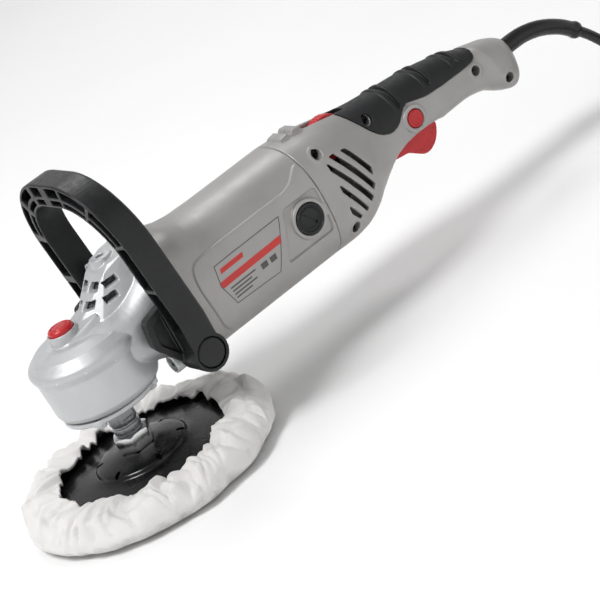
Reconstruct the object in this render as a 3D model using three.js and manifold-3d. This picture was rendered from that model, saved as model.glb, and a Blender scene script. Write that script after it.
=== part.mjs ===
// Rotary polisher: a geared electric hand tool with a loop handle, a tail handle, a backing pad and a bonnet.
// Millimetres, +Z up. The origin is the centre of the bonnet's flat working face. The spindle turns about Z,
// and +X runs along the motor towards the cord. "Left" is the -Y side, "right" is the +Y side.
import * as THREE from 'three';
import { mergeVertices } from 'three/addons/utils/BufferGeometryUtils.js';
import Module from 'manifold-3d';

const wasm = await Module();
wasm.setup();

// ---- driving dimensions ----
const GAP = 0.3; // clearance between neighbouring pieces
const BONNET_RADIUS = 93.5;
const CLOTH = 4; // cloth and pile under the pad
const PAD_RADIUS = 86;
const PAD_HUB_TOP = 26.6;
const NUT_TOP = 38.6;
const SHOULDER_RADIUS = 10; // visible part of the spindle
const COVER_BOTTOM = 60.5;
const BOWL_BOTTOM = 68;
const RIM_Z = 104.5;
const BOWL_RADIUS = 39.3;
const RIM_RADIUS = 41;
const BOWL_X = 2;
const CHAMBER_RADIUS = 28.5;
const AXIS_Z = 96; // motor axis
const CROWN_TEETH = 36;
const PINION_TEETH = 10;
const PITCH_RADIUS = 25.2; // crown gear, at the outer end of its teeth
const GEAR_MODULE = (2 * PITCH_RADIUS) / CROWN_TEETH;
const PINION_RADIUS = (GEAR_MODULE * PINION_TEETH) / 2;
const FLANGE_X = 66.4;
const MOTOR_A = 41.7; // half width
const MOTOR_B = 44.4; // half height
const SEAM_X = 188.6;
const BRUSH_X = 171.5;
const WALL = 3;
const LOOP_OUTER = 67;
const LOOP_THICK = 17;
const LOOP_DEPTH = 21;
const LOOP_TOP = 212;
const LOOP_CORNER = 55;
const LOOP_LEAN = 0.09;
const LOOP_X = 52;
const LOOP_BOLT_Z = 74;
const BUTTON_X = -5.4;
const PIN_X = -11.5;
const LOCK_RECESS_Z = 115.6;
const PIN_GUIDE_RADIUS = 2.3;
const LOCK_HOLES = 4; // in the crown gear
const TRIGGER_PIVOT = [258, 87];
const LOCK_ON = [290.9, 99];
const DIAL = [234.5, 119.5];
const DIAL_RADIUS = 16;
const CORD_RADIUS = 4;

// ---- materials ----
const paint = (color, roughness, metalness = 0) =>
  new THREE.MeshStandardMaterial({ color, roughness, metalness });
const castAluminium = paint(0xc4c6c8, 0.38, 0.8);
const steel = paint(0x9a9da0, 0.3, 1);
const darkSteel = paint(0x4a4c4e, 0.4, 0.9);
const chrome = paint(0xd8dadc, 0.12, 1);
const greyPlastic = paint(0x9c9a98, 0.5);
const blackPlastic = paint(0x26272a, 0.5);
const softRubber = paint(0x2c2e31, 0.75);
const glossBlack = paint(0x101113, 0.2);
const redPlastic = paint(0xb3161f, 0.35);
const copper = paint(0xb06a3a, 0.35, 0.9);
const cloth = paint(0xe6e5e3, 0.95);
const carbon = paint(0x2a2a2a, 0.8);
const lamination = paint(0x6d7074, 0.5, 0.8);

// ---- solid helpers ----
function solid(geometry) {
  const bare = (geometry.index ? geometry.toNonIndexed() : geometry).clone();
  bare.deleteAttribute('normal');
  bare.deleteAttribute('uv');
  const merged = mergeVertices(bare, 1e-4);
  return new wasm.Manifold(new wasm.Mesh({
    numProp: 3,
    vertProperties: new Float32Array(merged.attributes.position.array),
    triVerts: new Uint32Array(merged.index.array),
  }));
}

function toGeometry(manifold) {
  const mesh = manifold.getMesh();
  const geometry = new THREE.BufferGeometry();
  geometry.setAttribute('position', new THREE.BufferAttribute(new Float32Array(mesh.vertProperties), 3));
  geometry.setIndex(new THREE.BufferAttribute(new Uint32Array(mesh.triVerts), 1));
  return geometry;
}

const join = (first, ...rest) => rest.reduce((sum, piece) => sum.add(piece), first);
const cut = (first, ...tools) => tools.reduce((rest, tool) => rest.subtract(tool), first);
const move = (geometry, x, y, z) => geometry.translate(x, y, z);

function box(x0, x1, y0, y1, z0, z1) {
  return solid(move(new THREE.BoxGeometry(x1 - x0, y1 - y0, z1 - z0), (x0 + x1) / 2, (y0 + y1) / 2, (z0 + z1) / 2));
}

// the two ends of a stretch on the left (-1) or right (1) side, given its near and far distances
const span = (side, near, far) => (side < 0 ? [-far, -near] : [near, far]);

// cylinders along each axis, from one end to the other
function rodZ(radius, x, y, z0, z1, sides = 16) {
  const rod = new THREE.CylinderGeometry(radius, radius, z1 - z0, sides).rotateX(Math.PI / 2);
  return solid(move(rod, x, y, (z0 + z1) / 2));
}

function rodX(radius, x0, x1, y, z, sides = 16) {
  const rod = new THREE.CylinderGeometry(radius, radius, x1 - x0, sides).rotateZ(Math.PI / 2);
  return solid(move(rod, (x0 + x1) / 2, y, z));
}

function rodY(radius, x, y0, y1, z, sides = 16) {
  const rod = new THREE.CylinderGeometry(radius, radius, y1 - y0, sides);
  return solid(move(rod, x, (y0 + y1) / 2, z));
}

const tubeX = (outer, inner, x0, x1, sides = 20) =>
  cut(rodX(outer, x0, x1, 0, AXIS_Z, sides), rodX(inner, x0 - 1, x1 + 1, 0, AXIS_Z, sides));

// a turned piece about the spindle axis, from [radius, z] points
function turned(points, sides = 40) {
  const outline = points.map(([radius, z]) => new THREE.Vector2(radius, z));
  return solid(new THREE.LatheGeometry(outline, sides).rotateX(Math.PI / 2));
}

// a flat outline in (x, z) pushed through in y
function plateY(outline, y0, y1) {
  const shape = new THREE.Shape(outline.map(([x, z]) => new THREE.Vector2(x, z)));
  const plate = new THREE.ExtrudeGeometry(shape, { depth: y1 - y0, bevelEnabled: false });
  return solid(plate.rotateX(Math.PI / 2).translate(0, y1, 0));
}

// a flat outline in (y, z) pushed through in x
function plateX(outline, x0, x1) {
  const shape = new THREE.Shape(outline.map(([y, z]) => new THREE.Vector2(y, z)));
  const plate = new THREE.ExtrudeGeometry(shape, { depth: x1 - x0, bevelEnabled: false });
  return solid(plate.rotateY(Math.PI / 2).rotateX(Math.PI / 2).translate(x0, 0, 0));
}

// a flat outline in (x, y) pushed through in z
function plateZ(outline, z0, z1) {
  const shape = new THREE.Shape(outline.map(([x, y]) => new THREE.Vector2(x, y)));
  return solid(new THREE.ExtrudeGeometry(shape, { depth: z1 - z0, bevelEnabled: false }).translate(0, 0, z0));
}

// a closed skin through rings of equal point counts
function loft(rings) {
  const count = rings[0].length;
  const positions = rings.flat(2);
  const index = [];
  for (let ring = 0; ring + 1 < rings.length; ring += 1) {
    for (let i = 0; i < count; i += 1) {
      const a = ring * count + i;
      const b = ring * count + ((i + 1) % count);
      index.push(a, b, a + count, b, b + count, a + count);
    }
  }
  const last = (rings.length - 1) * count;
  for (let i = 1; i + 1 < count; i += 1) {
    index.push(0, i + 1, i, last, last + i, last + i + 1);
  }
  const geometry = new THREE.BufferGeometry();
  geometry.setAttribute('position', new THREE.Float32BufferAttribute(positions, 3));
  geometry.setIndex(index);
  return solid(geometry);
}

// superellipse ring in the plane x = const
function ringX([x, z, halfWidth, halfHeight, power], count = 24) {
  return Array.from({ length: count }, (_, i) => {
    const angle = (2 * Math.PI * i) / count;
    const c = Math.cos(angle);
    const s = Math.sin(angle);
    const y = halfWidth * Math.sign(c) * Math.abs(c) ** (2 / power);
    return [x, y, z + halfHeight * Math.sign(s) * Math.abs(s) ** (2 / power)];
  });
}

const skin = (sections, inset = 0) =>
  loft(sections.map(([x, z, a, b, power]) => ringX([x, z, a - inset, b - inset, power])));

const root = new THREE.Group();
function add(name, manifold, material) {
  const mesh = new THREE.Mesh(toGeometry(manifold), material);
  mesh.name = name;
  root.add(mesh);
}

// ---- pad, bonnet and spindle ----
function buildPad() {
  add('bonnet', turned([
    [0, 0], [82, 0], [90, 2.6], [BONNET_RADIUS, 9], [92, 15.5], [86, 21], [76, 23], [63, 21.8],
    [63, 19.8], [76, 20], [PAD_RADIUS + GAP, 16], [PAD_RADIUS + GAP, CLOTH], [0, CLOTH],
  ], 40), cloth);
  const pad = turned([
    [0, CLOTH + GAP], [PAD_RADIUS, CLOTH + GAP], [PAD_RADIUS, 10], [80, 15], [62, 17], [40, 19],
    [30, 22], [20, 25.5], [14.5, PAD_HUB_TOP], [0, PAD_HUB_TOP],
  ], 40);
  add('backing_pad', cut(pad, rodZ(7.4, 0, 0, 12, 40)), glossBlack);
  const nut = new THREE.CylinderGeometry(13.8, 13.8, NUT_TOP - PAD_HUB_TOP - GAP, 6).rotateX(Math.PI / 2);
  const nutSolid = solid(move(nut, 0, 0, (NUT_TOP + PAD_HUB_TOP + GAP) / 2));
  add('pad_nut', cut(nutSolid, rodZ(7.4, 0, 0, 20, 45)), chrome);
}

function buildSpindle() {
  add('spindle', turned([
    [0, 14], [7, 14], [7, NUT_TOP + GAP], [SHOULDER_RADIUS, NUT_TOP + GAP], [SHOULDER_RADIUS, 64.9],
    [7.4, 64.9], [7.4, 87.6], [4.7, 87.6], [4.7, 101], [0, 101],
  ], 24), darkSteel);
  const washer = (inner, outer, z0, z1) =>
    turned([[inner, z0], [outer, z0], [outer, z1], [inner, z1], [inner, z0]], 24);
  add('spindle_lower_bearing', washer(7.7, 17.5, 65.2, 75.2), steel);
  add('spindle_upper_bearing', washer(5, 7.6, 91.5, 100.5), steel);
}

// ---- bevel gears ----
// a tooth blank that tapers towards the point where the two axes meet
function taperedTooth(widthOuter, heightOuter, far, near, rootDrop) {
  const shrink = near / far;
  const section = (distance, scale) => [
    [distance, -widthOuter * 0.62 * scale, -rootDrop],
    [distance, widthOuter * 0.62 * scale, -rootDrop],
    [distance, widthOuter * 0.24 * scale, heightOuter * scale],
    [distance, -widthOuter * 0.24 * scale, heightOuter * scale],
  ];
  return loft([section(near, shrink), section(far, 1)]);
}

function buildCrownGear() {
  const faceZ = AXIS_Z - PINION_RADIUS - 2.2;
  const blank = turned([
    [7.7, 75.5], [9.2, 75.5], [9.2, 78.5], [26.5, 78.5], [PITCH_RADIUS + 1.2, faceZ], [17, faceZ], [15, 83],
    [9.2, 83], [9.2, 87.4], [7.7, 87.4], [7.7, 75.5],
  ], 36);
  const holes = Array.from({ length: LOCK_HOLES }, (_, i) => {
    const angle = (2 * Math.PI * i) / LOCK_HOLES;
    return rodZ(2.5, PIN_X * Math.cos(angle), PIN_X * Math.sin(angle), 70, 95, 8);
  });
  let gear = cut(blank, ...holes);
  for (let i = 0; i < CROWN_TEETH; i += 1) {
    const tooth = taperedTooth(GEAR_MODULE * 1.1, 2.0, PITCH_RADIUS + 1, 18.5, 1.2);
    gear = gear.add(tooth.translate([0, 0, faceZ]).rotate([0, 0, (i * 360) / CROWN_TEETH]));
  }
  add('crown_gear', gear, steel);
}

function buildPinion() {
  const coneAt = (x) => (x / PITCH_RADIUS) * PINION_RADIUS;
  const [near, far] = [18.8, 26.2];
  const rings = [near, far].map((x) => Array.from({ length: PINION_TEETH * 4 }, (_, i) => {
    const scale = x / PITCH_RADIUS;
    const onTooth = i % 4 < 2;
    const tooth = Math.floor(i / 4);
    const side = i % 2 === 0 ? -1 : 1;
    const radius = coneAt(x) + (onTooth ? 1.0 : -1.3) * scale;
    const half = onTooth ? 0.085 : 0.11;
    const middle = onTooth ? 0 : 0.5;
    const turn = ((tooth + 0.5 + middle + side * half) / PINION_TEETH) * 2 * Math.PI;
    return [x, radius * Math.sin(turn), AXIS_Z - radius * Math.cos(turn)];
  }));
  const gear = join(loft(rings), rodX(5.6, 26, 33, 0, AXIS_Z));
  add('pinion_gear', cut(gear, rodX(3.5, 0, 40, 0, AXIS_Z)), steel);
}

// ---- gear head ----
// [y, z, x of the head's front]
const HEAD_SCREWS = [[-35.5, 131, 46.5], [35.5, 131, 46.5], [-35.5, 71, 36.5], [35.5, 71, 36.5]];
const COVER_SCREW_RADIUS = 30.6;
const coverScrewPlaces = [45, 135, 225, 315].map((degrees) => {
  const angle = (degrees * Math.PI) / 180;
  return [COVER_SCREW_RADIUS * Math.cos(angle), COVER_SCREW_RADIUS * Math.sin(angle)];
});

// corners of the vented turret on each side of the head, [x, distance from the middle plane, z]
const TURRET = [
  [-5, 0, 112], [12, 19, 112], [66, 34, 112], [33.5, 0, 143], [35, 13, 142.3], [41, 12, 146], [64, 21, 147.4],
  [52, 17, 148], [66, 22, 146],
];
const TURRET_DUCT = [
  [8, 0, 119], [19.5, 13.5, 119], [62, 22, 119], [36, 0, 140.5], [37.5, 10, 139.8], [62, 16, 143],
];
// corners of the raised back that runs from the bowl's front edge up to the turret
const SPINE = [
  [-36.5, 0, 108], [-33, 10, 108], [-20, 15, 108], [20, 19, 112], [-35, 0, 111.5], [-32, 8, 112], [16, 14, 123.5],
  [16, 0, 124.5],
];
const hull = (corners) =>
  wasm.Manifold.hull(corners.flatMap(([x, y, z]) => [[x, -y, z], [x, y, z]]));

function buildGearHousing() {
  const bowl = solid(move(new THREE.LatheGeometry([
    [0, BOWL_BOTTOM], [34, BOWL_BOTTOM], [38.2, 73], [BOWL_RADIUS, 98], [RIM_RADIUS, RIM_Z], [39, 109], [33, 113.5],
    [22, 116], [0, 117],
  ].map(([radius, z]) => new THREE.Vector2(radius, z)), 36).rotateX(Math.PI / 2), BOWL_X, 0, 0));
  const neck = skin([
    [2, 97, 36, 20, 3], [25, 98, 37.5, 22.5, 3], [45, 99, 38, 31, 3.2], [56, 100, 40, 41.5, 3.4],
    [60, 100.5, 43, 46, 3.4], [FLANGE_X, 100.5, 43, 46, 3.4],
  ]);
  const turret = hull(TURRET);
  const screwTowers = HEAD_SCREWS.map(([y, z, x]) => rodX(6.5, x - 0.5, 66, y, z, 16));
  const loopBosses = [-1, 1].map((side) =>
    rodY(11, LOOP_X, ...span(side, 30, 43.5), LOOP_BOLT_Z));
  const shell = join(
    bowl, neck, turret, hull(SPINE), ...screwTowers, ...loopBosses,
    rodZ(10.9, BUTTON_X, 0, 108, 121.5, 20), rodZ(8, 43.7, 0, 140, 149.5),
  );
  const windows = [];
  for (const [frontX, sideX, z] of [[16, 30.5, 136.4], [8, 25, 128.2]]) {
    for (const side of [-1, 1]) {
      windows.push(box(frontX, frontX + 22, ...span(side, 1.7, 10.8), z - 2.3, z + 2.3));
      windows.push(box(sideX, sideX + 10, ...span(side, 8, 36), z - 2.6, z + 2.2));
    }
  }
  const duct = hull(TURRET_DUCT);
  const cavities = [
    rodZ(CHAMBER_RADIUS, 0, 0, BOWL_BOTTOM - 1, 103, 32),
    rodX(15.3, 48.2, 62, 0, AXIS_Z),
    skin([[61.5, 99, 36, 38, 3], [FLANGE_X + 1, 99, 36, 38, 3]]),
    rodX(13, 18, 50, 0, AXIS_Z, 20),
    duct,
    ...windows,
    rodZ(PIN_GUIDE_RADIUS, PIN_X, 0, 95, 110, 12),
    rodZ(3.3, PIN_X, 0, 104.6, LOCK_RECESS_Z + 0.2, 12),
    rodZ(9.4, BUTTON_X, 0, LOCK_RECESS_Z, 125, 20),
    rodZ(3, 43.7, 0, 141, 152, 16),
    ...HEAD_SCREWS.map(([y, z]) => rodX(2.3, 30, 80, y, z, 12)),
    ...HEAD_SCREWS.map(([y, z, x]) => rodX(4.9, 30, x + 4.5, y, z, 12)),
    ...coverScrewPlaces.map(([x, y]) => rodZ(2.4, x, y, 60, 80, 12)),
    ...[-1, 1].map((side) => rodY(4.2, LOOP_X, ...span(side, 26, 45), LOOP_BOLT_Z)),
  ];
  const upperSeat = cut(rodZ(9.9, 0, 0, 91.5, 104), rodZ(7.9, 0, 0, 90, 101.6),
    rodZ(PIN_GUIDE_RADIUS, PIN_X, 0, 80, 110, 12));
  add('gear_housing', join(cut(shell, ...cavities), upperSeat), castAluminium);
}

function buildGearCover() {
  const cover = turned([
    [SHOULDER_RADIUS + 0.6, COVER_BOTTOM], [24, COVER_BOTTOM], [26, 62], [26, 63.6], [34, 64.4],
    [34, BOWL_BOTTOM - GAP], [CHAMBER_RADIUS - GAP, BOWL_BOTTOM - GAP], [CHAMBER_RADIUS - GAP, 71], [22, 74.8],
    [17.8, 74.8], [17.8, 64.9], [SHOULDER_RADIUS + 0.6, 64.9], [SHOULDER_RADIUS + 0.6, COVER_BOTTOM],
  ], 36);
  add('gear_cover', cut(cover, ...coverScrewPlaces.map(([x, y]) => rodZ(2.4, x, y, 60, 80, 12))), castAluminium);
  coverScrewPlaces.forEach(([x, y], i) => {
    const screw = join(rodZ(3.2, x, y, 61.2, 63.6, 12), rodZ(1.9, x, y, 63, 78, 8));
    add(`gear_cover_screw_${i + 1}`, screw, steel);
  });
}

function buildSpindleLock() {
  const button = turned([[0, 120.4], [9, 120.4], [9, 126], [7.4, 127.1], [0, 127.6]], 24);
  add('spindle_lock_button', button.translate([BUTTON_X, 0, 0]), redPlastic);
  add('spindle_lock_pin', join(rodZ(1.9, PIN_X, 0, 84.2, 114, 12), rodZ(2.8, PIN_X, 0, 112.3, 120.1, 12)), steel);
  const coil = cut(rodZ(2.9, PIN_X, 0, 104.9, 112, 12), rodZ(2.2, PIN_X, 0, 100, 114, 12));
  add('spindle_lock_spring', coil, steel);
}

function buildHeadScrews() {
  HEAD_SCREWS.forEach(([y, z, x], i) => {
    const screw = join(rodX(4.4, x, x + 4.2, y, z, 12), rodX(2, x + 4, 79, y, z, 8));
    add(`gear_head_screw_${i + 1}`, screw, steel);
  });
}

// ---- loop handle ----
// middle line of the loop in (y, z): up one arm, round the top and down the other
function loopLine() {
  const reach = LOOP_OUTER - LOOP_THICK / 2;
  const top = LOOP_TOP - LOOP_THICK / 2;
  const radius = LOOP_CORNER - LOOP_THICK / 2;
  const points = [[-reach, LOOP_BOLT_Z], [-reach, 115]];
  for (let step = 0; step <= 6; step += 1) {
    const angle = Math.PI - (step * Math.PI) / 12;
    points.push([-reach + radius + radius * Math.cos(angle), top - radius + radius * Math.sin(angle)]);
  }
  return [...points, ...points.map(([y, z]) => [-y, z]).reverse()];
}

function buildLoopHandle() {
  const line = loopLine();
  const rings = line.map(([y, z], i) => {
    const [y0, z0] = line[Math.max(i - 1, 0)];
    const [y1, z1] = line[Math.min(i + 1, line.length - 1)];
    const length = Math.hypot(y1 - y0, z1 - z0);
    const [ny, nz] = [(z1 - z0) / length, -(y1 - y0) / length];
    const half = LOOP_THICK / 2;
    const x = LOOP_X - LOOP_LEAN * (z - 100) * (z > 100 ? 1 : 0);
    const section = [[-0.5, -1], [0.5, -1], [0.5, 0.55], [0.32, 1], [-0.32, 1], [-0.5, 0.55]];
    return section.reverse().map(([u, v]) => [x + u * LOOP_DEPTH, y - v * ny * half, z - v * nz * half]);
  });
  let handle = loft(rings);
  for (const side of [-1, 1]) {
    const [inner, outer] = [44.2, LOOP_OUTER];
    const end = rodY(13, LOOP_X, ...span(side, inner, outer), LOOP_BOLT_Z, 24);
    const foot = plateY([
      [25, 94], [27.5, 112], [42, 116], [62, 110], [64, 80], [56, 62], [47, 61.5], [31, 84],
    ], ...span(side, inner, 52));
    handle = join(handle, end, foot);
    handle = cut(
      handle,
      rodY(4.2, LOOP_X, ...span(side, 40, 70), LOOP_BOLT_Z),
      rodY(10.3, LOOP_X, ...span(side, 60, 70), LOOP_BOLT_Z, 24),
    );
    const head = rodY(10, LOOP_X, ...span(side, 60.3, 65), LOOP_BOLT_Z, 24);
    const shank = rodY(3.9, LOOP_X, ...span(side, 38, 62), LOOP_BOLT_Z, 12);
    add(`loop_handle_bolt_${side < 0 ? 'left' : 'right'}`, join(head, shank), blackPlastic);
  }
  add('loop_handle', handle, blackPlastic);
}

// ---- motor ----
const MOTOR_SECTIONS = [
  [FLANGE_X + GAP, 100.5, 43, 46, 3.4], [80, 100, 42.7, 45.7, 3.2], [96, 97, MOTOR_A, 44.6, 2.6],
  [110, AXIS_Z, MOTOR_A, MOTOR_B, 2.4], [SEAM_X - GAP, AXIS_Z, MOTOR_A, MOTOR_B, 2.4],
];

function buildMotorHousing() {
  const shell = cut(
    skin(MOTOR_SECTIONS),
    skin([[FLANGE_X - 1, 97, 36, 40, 2.6], [96, AXIS_Z, MOTOR_A - WALL, 41.4, 2.4],
      [179, AXIS_Z, MOTOR_A - WALL, MOTOR_B - WALL, 2.4]]),
    skin([[178, AXIS_Z, 34, 36, 2.4], [SEAM_X + 1, AXIS_Z, 34, 36, 2.4]]),
    ...HEAD_SCREWS.map(([y, z]) => rodX(2.3, 60, 80, y, z, 12)),
    rodY(8.4, BRUSH_X, -50, 50, AXIS_Z, 24),
  );
  const spider = join(
    cut(rodX(14, 178.6, SEAM_X - GAP, 0, AXIS_Z), rodX(11.3, 170, 187.4, 0, AXIS_Z), rodX(6, 170, 195, 0, AXIS_Z)),
    box(179, 186, -3, 3, AXIS_Z + 12.5, AXIS_Z + 38), box(179, 186, -3, 3, AXIS_Z - 38, AXIS_Z - 12.5),
    box(179, 186, 12.5, 35.5, AXIS_Z - 3, AXIS_Z + 3), box(179, 186, -35.5, -12.5, AXIS_Z - 3, AXIS_Z + 3),
  );
  const brushRings = [-1, 1].map((side) => cut(
    rodY(13.2, BRUSH_X, ...span(side, 36, 43), AXIS_Z, 24),
    rodY(11.3, BRUSH_X, ...span(side, 39.5, 50), AXIS_Z, 24),
    rodY(8.4, BRUSH_X, -50, 50, AXIS_Z, 24),
  ));
  const body = cut(join(shell, spider), ...[-1, 1].map((side) =>
    rodY(11.3, BRUSH_X, ...span(side, 39.5, 50), AXIS_Z, 24)));
  add('motor_housing', join(body, ...brushRings), greyPlastic);
}

function buildBrushes() {
  for (const [name, side] of [['left', -1], ['right', 1]]) {
    const cap = cut(
      rodY(11, BRUSH_X, ...span(side, 39.8, 43.2), AXIS_Z, 24),
      box(BRUSH_X - 8, BRUSH_X + 8, ...span(side, 42, 45), AXIS_Z - 1, AXIS_Z + 1),
    );
    add(`brush_cap_${name}`, cap, blackPlastic);
    add(`carbon_brush_${name}`, box(BRUSH_X - 4, BRUSH_X + 4, ...span(side, 15.3, 39.4), AXIS_Z - 3, AXIS_Z + 3), carbon);
  }
}

function buildStator() {
  const core = tubeX(38, 25.2, 105, 150, 32);
  const slots = [-1, 1].map((side) => box(104, 151, ...span(side, 22, 33.4), AXIS_Z - 15.4, AXIS_Z + 15.4));
  add('stator_core', cut(core, ...slots), lamination);
  for (const [name, side] of [['upper', 1], ['lower', -1]]) {
    const heights = (low, high) => span(side, low, high).map((z) => AXIS_Z + z);
    const coil = join(
      box(98, 157, 26, 33, ...heights(4, 15)), box(98, 157, -33, -26, ...heights(4, 15)),
      ...[[98, 104.6], [150.4, 157]].flatMap(([x0, x1]) => [
        box(x0, x1, 24, 33, ...heights(4, 30)), box(x0, x1, -33, -24, ...heights(4, 30)),
        box(x0, x1, -33, 33, ...heights(26, 33)),
      ]),
    );
    const ring = tubeX(37.6, 25.2, 90, 160, 32);
    add(`field_coil_${name}`, coil.intersect(ring), copper);
  }
}

function buildArmature() {
  const shaft = join(
    rodX(3.2, 19.5, 33.5, 0, AXIS_Z), rodX(5, 33.3, 62, 0, AXIS_Z), rodX(6, 61.8, 176, 0, AXIS_Z),
    rodX(4, 175.8, 186.8, 0, AXIS_Z),
  );
  add('armature_shaft', shaft, darkSteel);
  add('front_armature_bearing', tubeX(15, 5.3, 48.5, 57.5, 28), steel);
  add('rear_armature_bearing', tubeX(11, 4.3, 179.5, 186.5, 28), steel);
  const grooves = Array.from({ length: 12 }, (_, i) =>
    box(100, 155, -2.2, 2.2, 14, 30).rotate([i * 30, 0, 0]).translate([0, 0, AXIS_Z]));
  add('armature_core', cut(tubeX(24.4, 6.3, 105, 150, 36), ...grooves), lamination);
  const bars = Array.from({ length: 12 }, (_, i) =>
    box(103, 152, -1.8, 1.8, 14.4, 22.4).rotate([i * 30, 0, 0]).translate([0, 0, AXIS_Z]));
  const endTurns = [[98, 104.6], [150.4, 157]].map(([x0, x1]) => tubeX(23, 8, x0, x1, 24));
  add('armature_winding', join(...endTurns, ...bars), copper);
  add('commutator', tubeX(15, 6.3, 160, 175, 24), copper);
  const blades = Array.from({ length: 12 }, (_, i) =>
    box(80, 91, -0.8, 0.8, 16, 33).rotate([i * 30, 0, 0]).translate([0, 0, AXIS_Z]));
  add('cooling_fan', join(tubeX(33, 6.3, 78.5, 81, 24), tubeX(11, 6.3, 78.5, 92, 16), ...blades), blackPlastic);
}

// ---- tail handle ----
const TAIL_SECTIONS = [
  [SEAM_X, AXIS_Z, MOTOR_A, MOTOR_B, 2.4], [205, 95.2, 41.5, 44, 2.4], [220, 94.8, 39.5, 42.2, 2.4],
  [235, 95.8, 34.5, 38.5, 2.3], [248, 98, 28.5, 33.5, 2.2], [262, 100.5, 24, 28.5, 2.2],
  [280, 101.8, 22, 25.2, 2.2], [300, 102, 21, 23.3, 2.2], [322, 101, 20, 21.3, 2.2],
  [345, 98.8, 19, 18.8, 2.2], [360, 94.8, 18.6, 17.8, 2.2], [371, 90, 22, 21.3, 2.6],
  [383, 86.5, 21, 20.8, 2.6], [389.5, 85.6, 17.5, 18.8, 2.4], [394, 87, 12, 14.4, 2.2],
];
const SLEEVE_Z = 90.6; // where the cord sleeve leaves the tail
const GRIP_DEPTH = 2.4;
// [x, z, depth from the middle plane to the shell's outside]
const TAIL_SCREWS = [[203.5, 126, 33], [203.5, 67, 33], [257, 119, 20], [355, 98, 15], [377, 79, 18.5]];
const GRIP_OUTLINE = [
  [251, 150], [253, 118], [262, 106], [270, 99.6], [279, 101.5], [285, 108], [291, 111.5], [299, 110.5], [306, 106],
  [325, 104.5], [345, 103.5], [358, 104], [362, 112], [360, 140],
];
// corners [x, z] of the slots, which end along the shell's edges
const VENTS = [
  [[219.6, 119.2], [224.8, 117.3], [236.3, 94.6], [234.2, 89.3]],
  [[209.1, 120.6], [213.7, 120.4], [232.7, 83.5], [229.4, 80.4]],
  [[204.2, 119.4], [227, 77], [223.1, 75.2], [204, 112.6]],
  [[203.5, 102.9], [219, 73], [216.5, 71.4], [203.5, 95.6]],
  [[203, 85.8], [211.6, 70.8], [208.6, 70.8], [203.4, 78.1]],
];
// the underside of the shell is cut away over the trigger
const TRIGGER_RECESS = [
  [258.5, 74], [262, 79.5], [269, 83.6], [279, 86], [290, 86.8], [302, 86.2], [313, 84.2], [318.5, 81.5],
];

// an outline moved inwards by a distance, corner by corner
function shrink(outline, distance) {
  const count = outline.length;
  return outline.map(([x, z], i) => {
    const [x0, z0] = outline[(i + count - 1) % count];
    const [x1, z1] = outline[(i + 1) % count];
    const before = new THREE.Vector2(x - x0, z - z0).normalize();
    const after = new THREE.Vector2(x1 - x, z1 - z).normalize();
    const inward = new THREE.Vector2(-(before.y + after.y), before.x + after.x).normalize();
    const spread = distance / Math.max(0.4, -inward.x * before.y + inward.y * before.x);
    return [x + inward.x * spread, z + inward.y * spread];
  });
}

function tailHalf(side) {
  const outer = skin(TAIL_SECTIONS);
  const lockRing = rodY(9.6, LOCK_ON[0], ...span(side, 14, 22.3), LOCK_ON[1], 24);
  const posts = TAIL_SCREWS.map(([x, z]) => rodY(6, x, ...span(side, 0, 50), z, 12).intersect(skin(TAIL_SECTIONS, 1)));
  const tab = plateY([[193, 130], [196, 141], [214, 141.5], [218, 130]], -9, 9);
  const ledge = plateY([...TRIGGER_RECESS, ...TRIGGER_RECESS.map(([x, z]) => [x, z + 3]).reverse()], -40, 40)
    .intersect(skin(TAIL_SECTIONS, 1));
  const body = join(cut(outer, skin(TAIL_SECTIONS.slice(0, -1), WALL + 0.4)), tab, lockRing, ledge, ...posts);
  const openings = [
    rodX(7.2, 380, 400, 0, SLEEVE_Z, 20),
    box(252, 321, -8.6, 8.6, 55, 93),
    box(DIAL[0] - 16.6, DIAL[0] + 16.6, -5.4, 5.4, 100, 150),
    plateY([[257.5, 50], ...TRIGGER_RECESS, [319.5, 50]], -40, 40),
    ...VENTS.map((outline) => plateY(outline, -60, 60)),
    cut(plateY(GRIP_OUTLINE, -40, 40).intersect(skin(TAIL_SECTIONS, -5)), skin(TAIL_SECTIONS, GRIP_DEPTH)),
  ];
  const holes = side < 0
    ? [
      ...TAIL_SCREWS.flatMap(([x, z, y]) => [rodY(3.7, x, -60, 7 - y, z), rodY(1.9, x, -60, 10, z, 8)]),
      rodY(7, LOCK_ON[0], -30, 0, LOCK_ON[1], 24),
    ]
    : TAIL_SCREWS.map(([x, z]) => rodY(1.9, x, -1, 10, z, 8));
  const half = box(180, 420, ...span(side, GAP / 2, 60), 0, 200);
  return cut(body, ...openings, ...holes).intersect(half);
}

function gripHalf(side) {
  const band = cut(skin(TAIL_SECTIONS, -0.6), skin(TAIL_SECTIONS, GRIP_DEPTH - GAP));
  const half = box(180, 420, ...span(side, GAP / 2, 60), 0, 200);
  return cut(
    band.intersect(plateY(shrink(GRIP_OUTLINE, GAP), -40, 40)).intersect(half),
    rodY(3.7, TAIL_SCREWS[2][0], -60, 0, TAIL_SCREWS[2][1]),
    rodY(9.9, LOCK_ON[0], -60, 60, LOCK_ON[1], 24),
  );
}

function buildTail() {
  for (const [name, side] of [['left', -1], ['right', 1]]) {
    add(`tail_handle_${name}`, tailHalf(side), greyPlastic);
    add(`soft_grip_${name}`, gripHalf(side), softRubber);
  }
  TAIL_SCREWS.forEach(([x, z, y], i) => {
    const screw = join(rodY(3.3, x, 3.4 - y, 6.6 - y, z, 12), rodY(1.5, x, 5 - y, 6, z, 8));
    add(`tail_handle_screw_${i + 1}`, screw, steel);
  });
}

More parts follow.
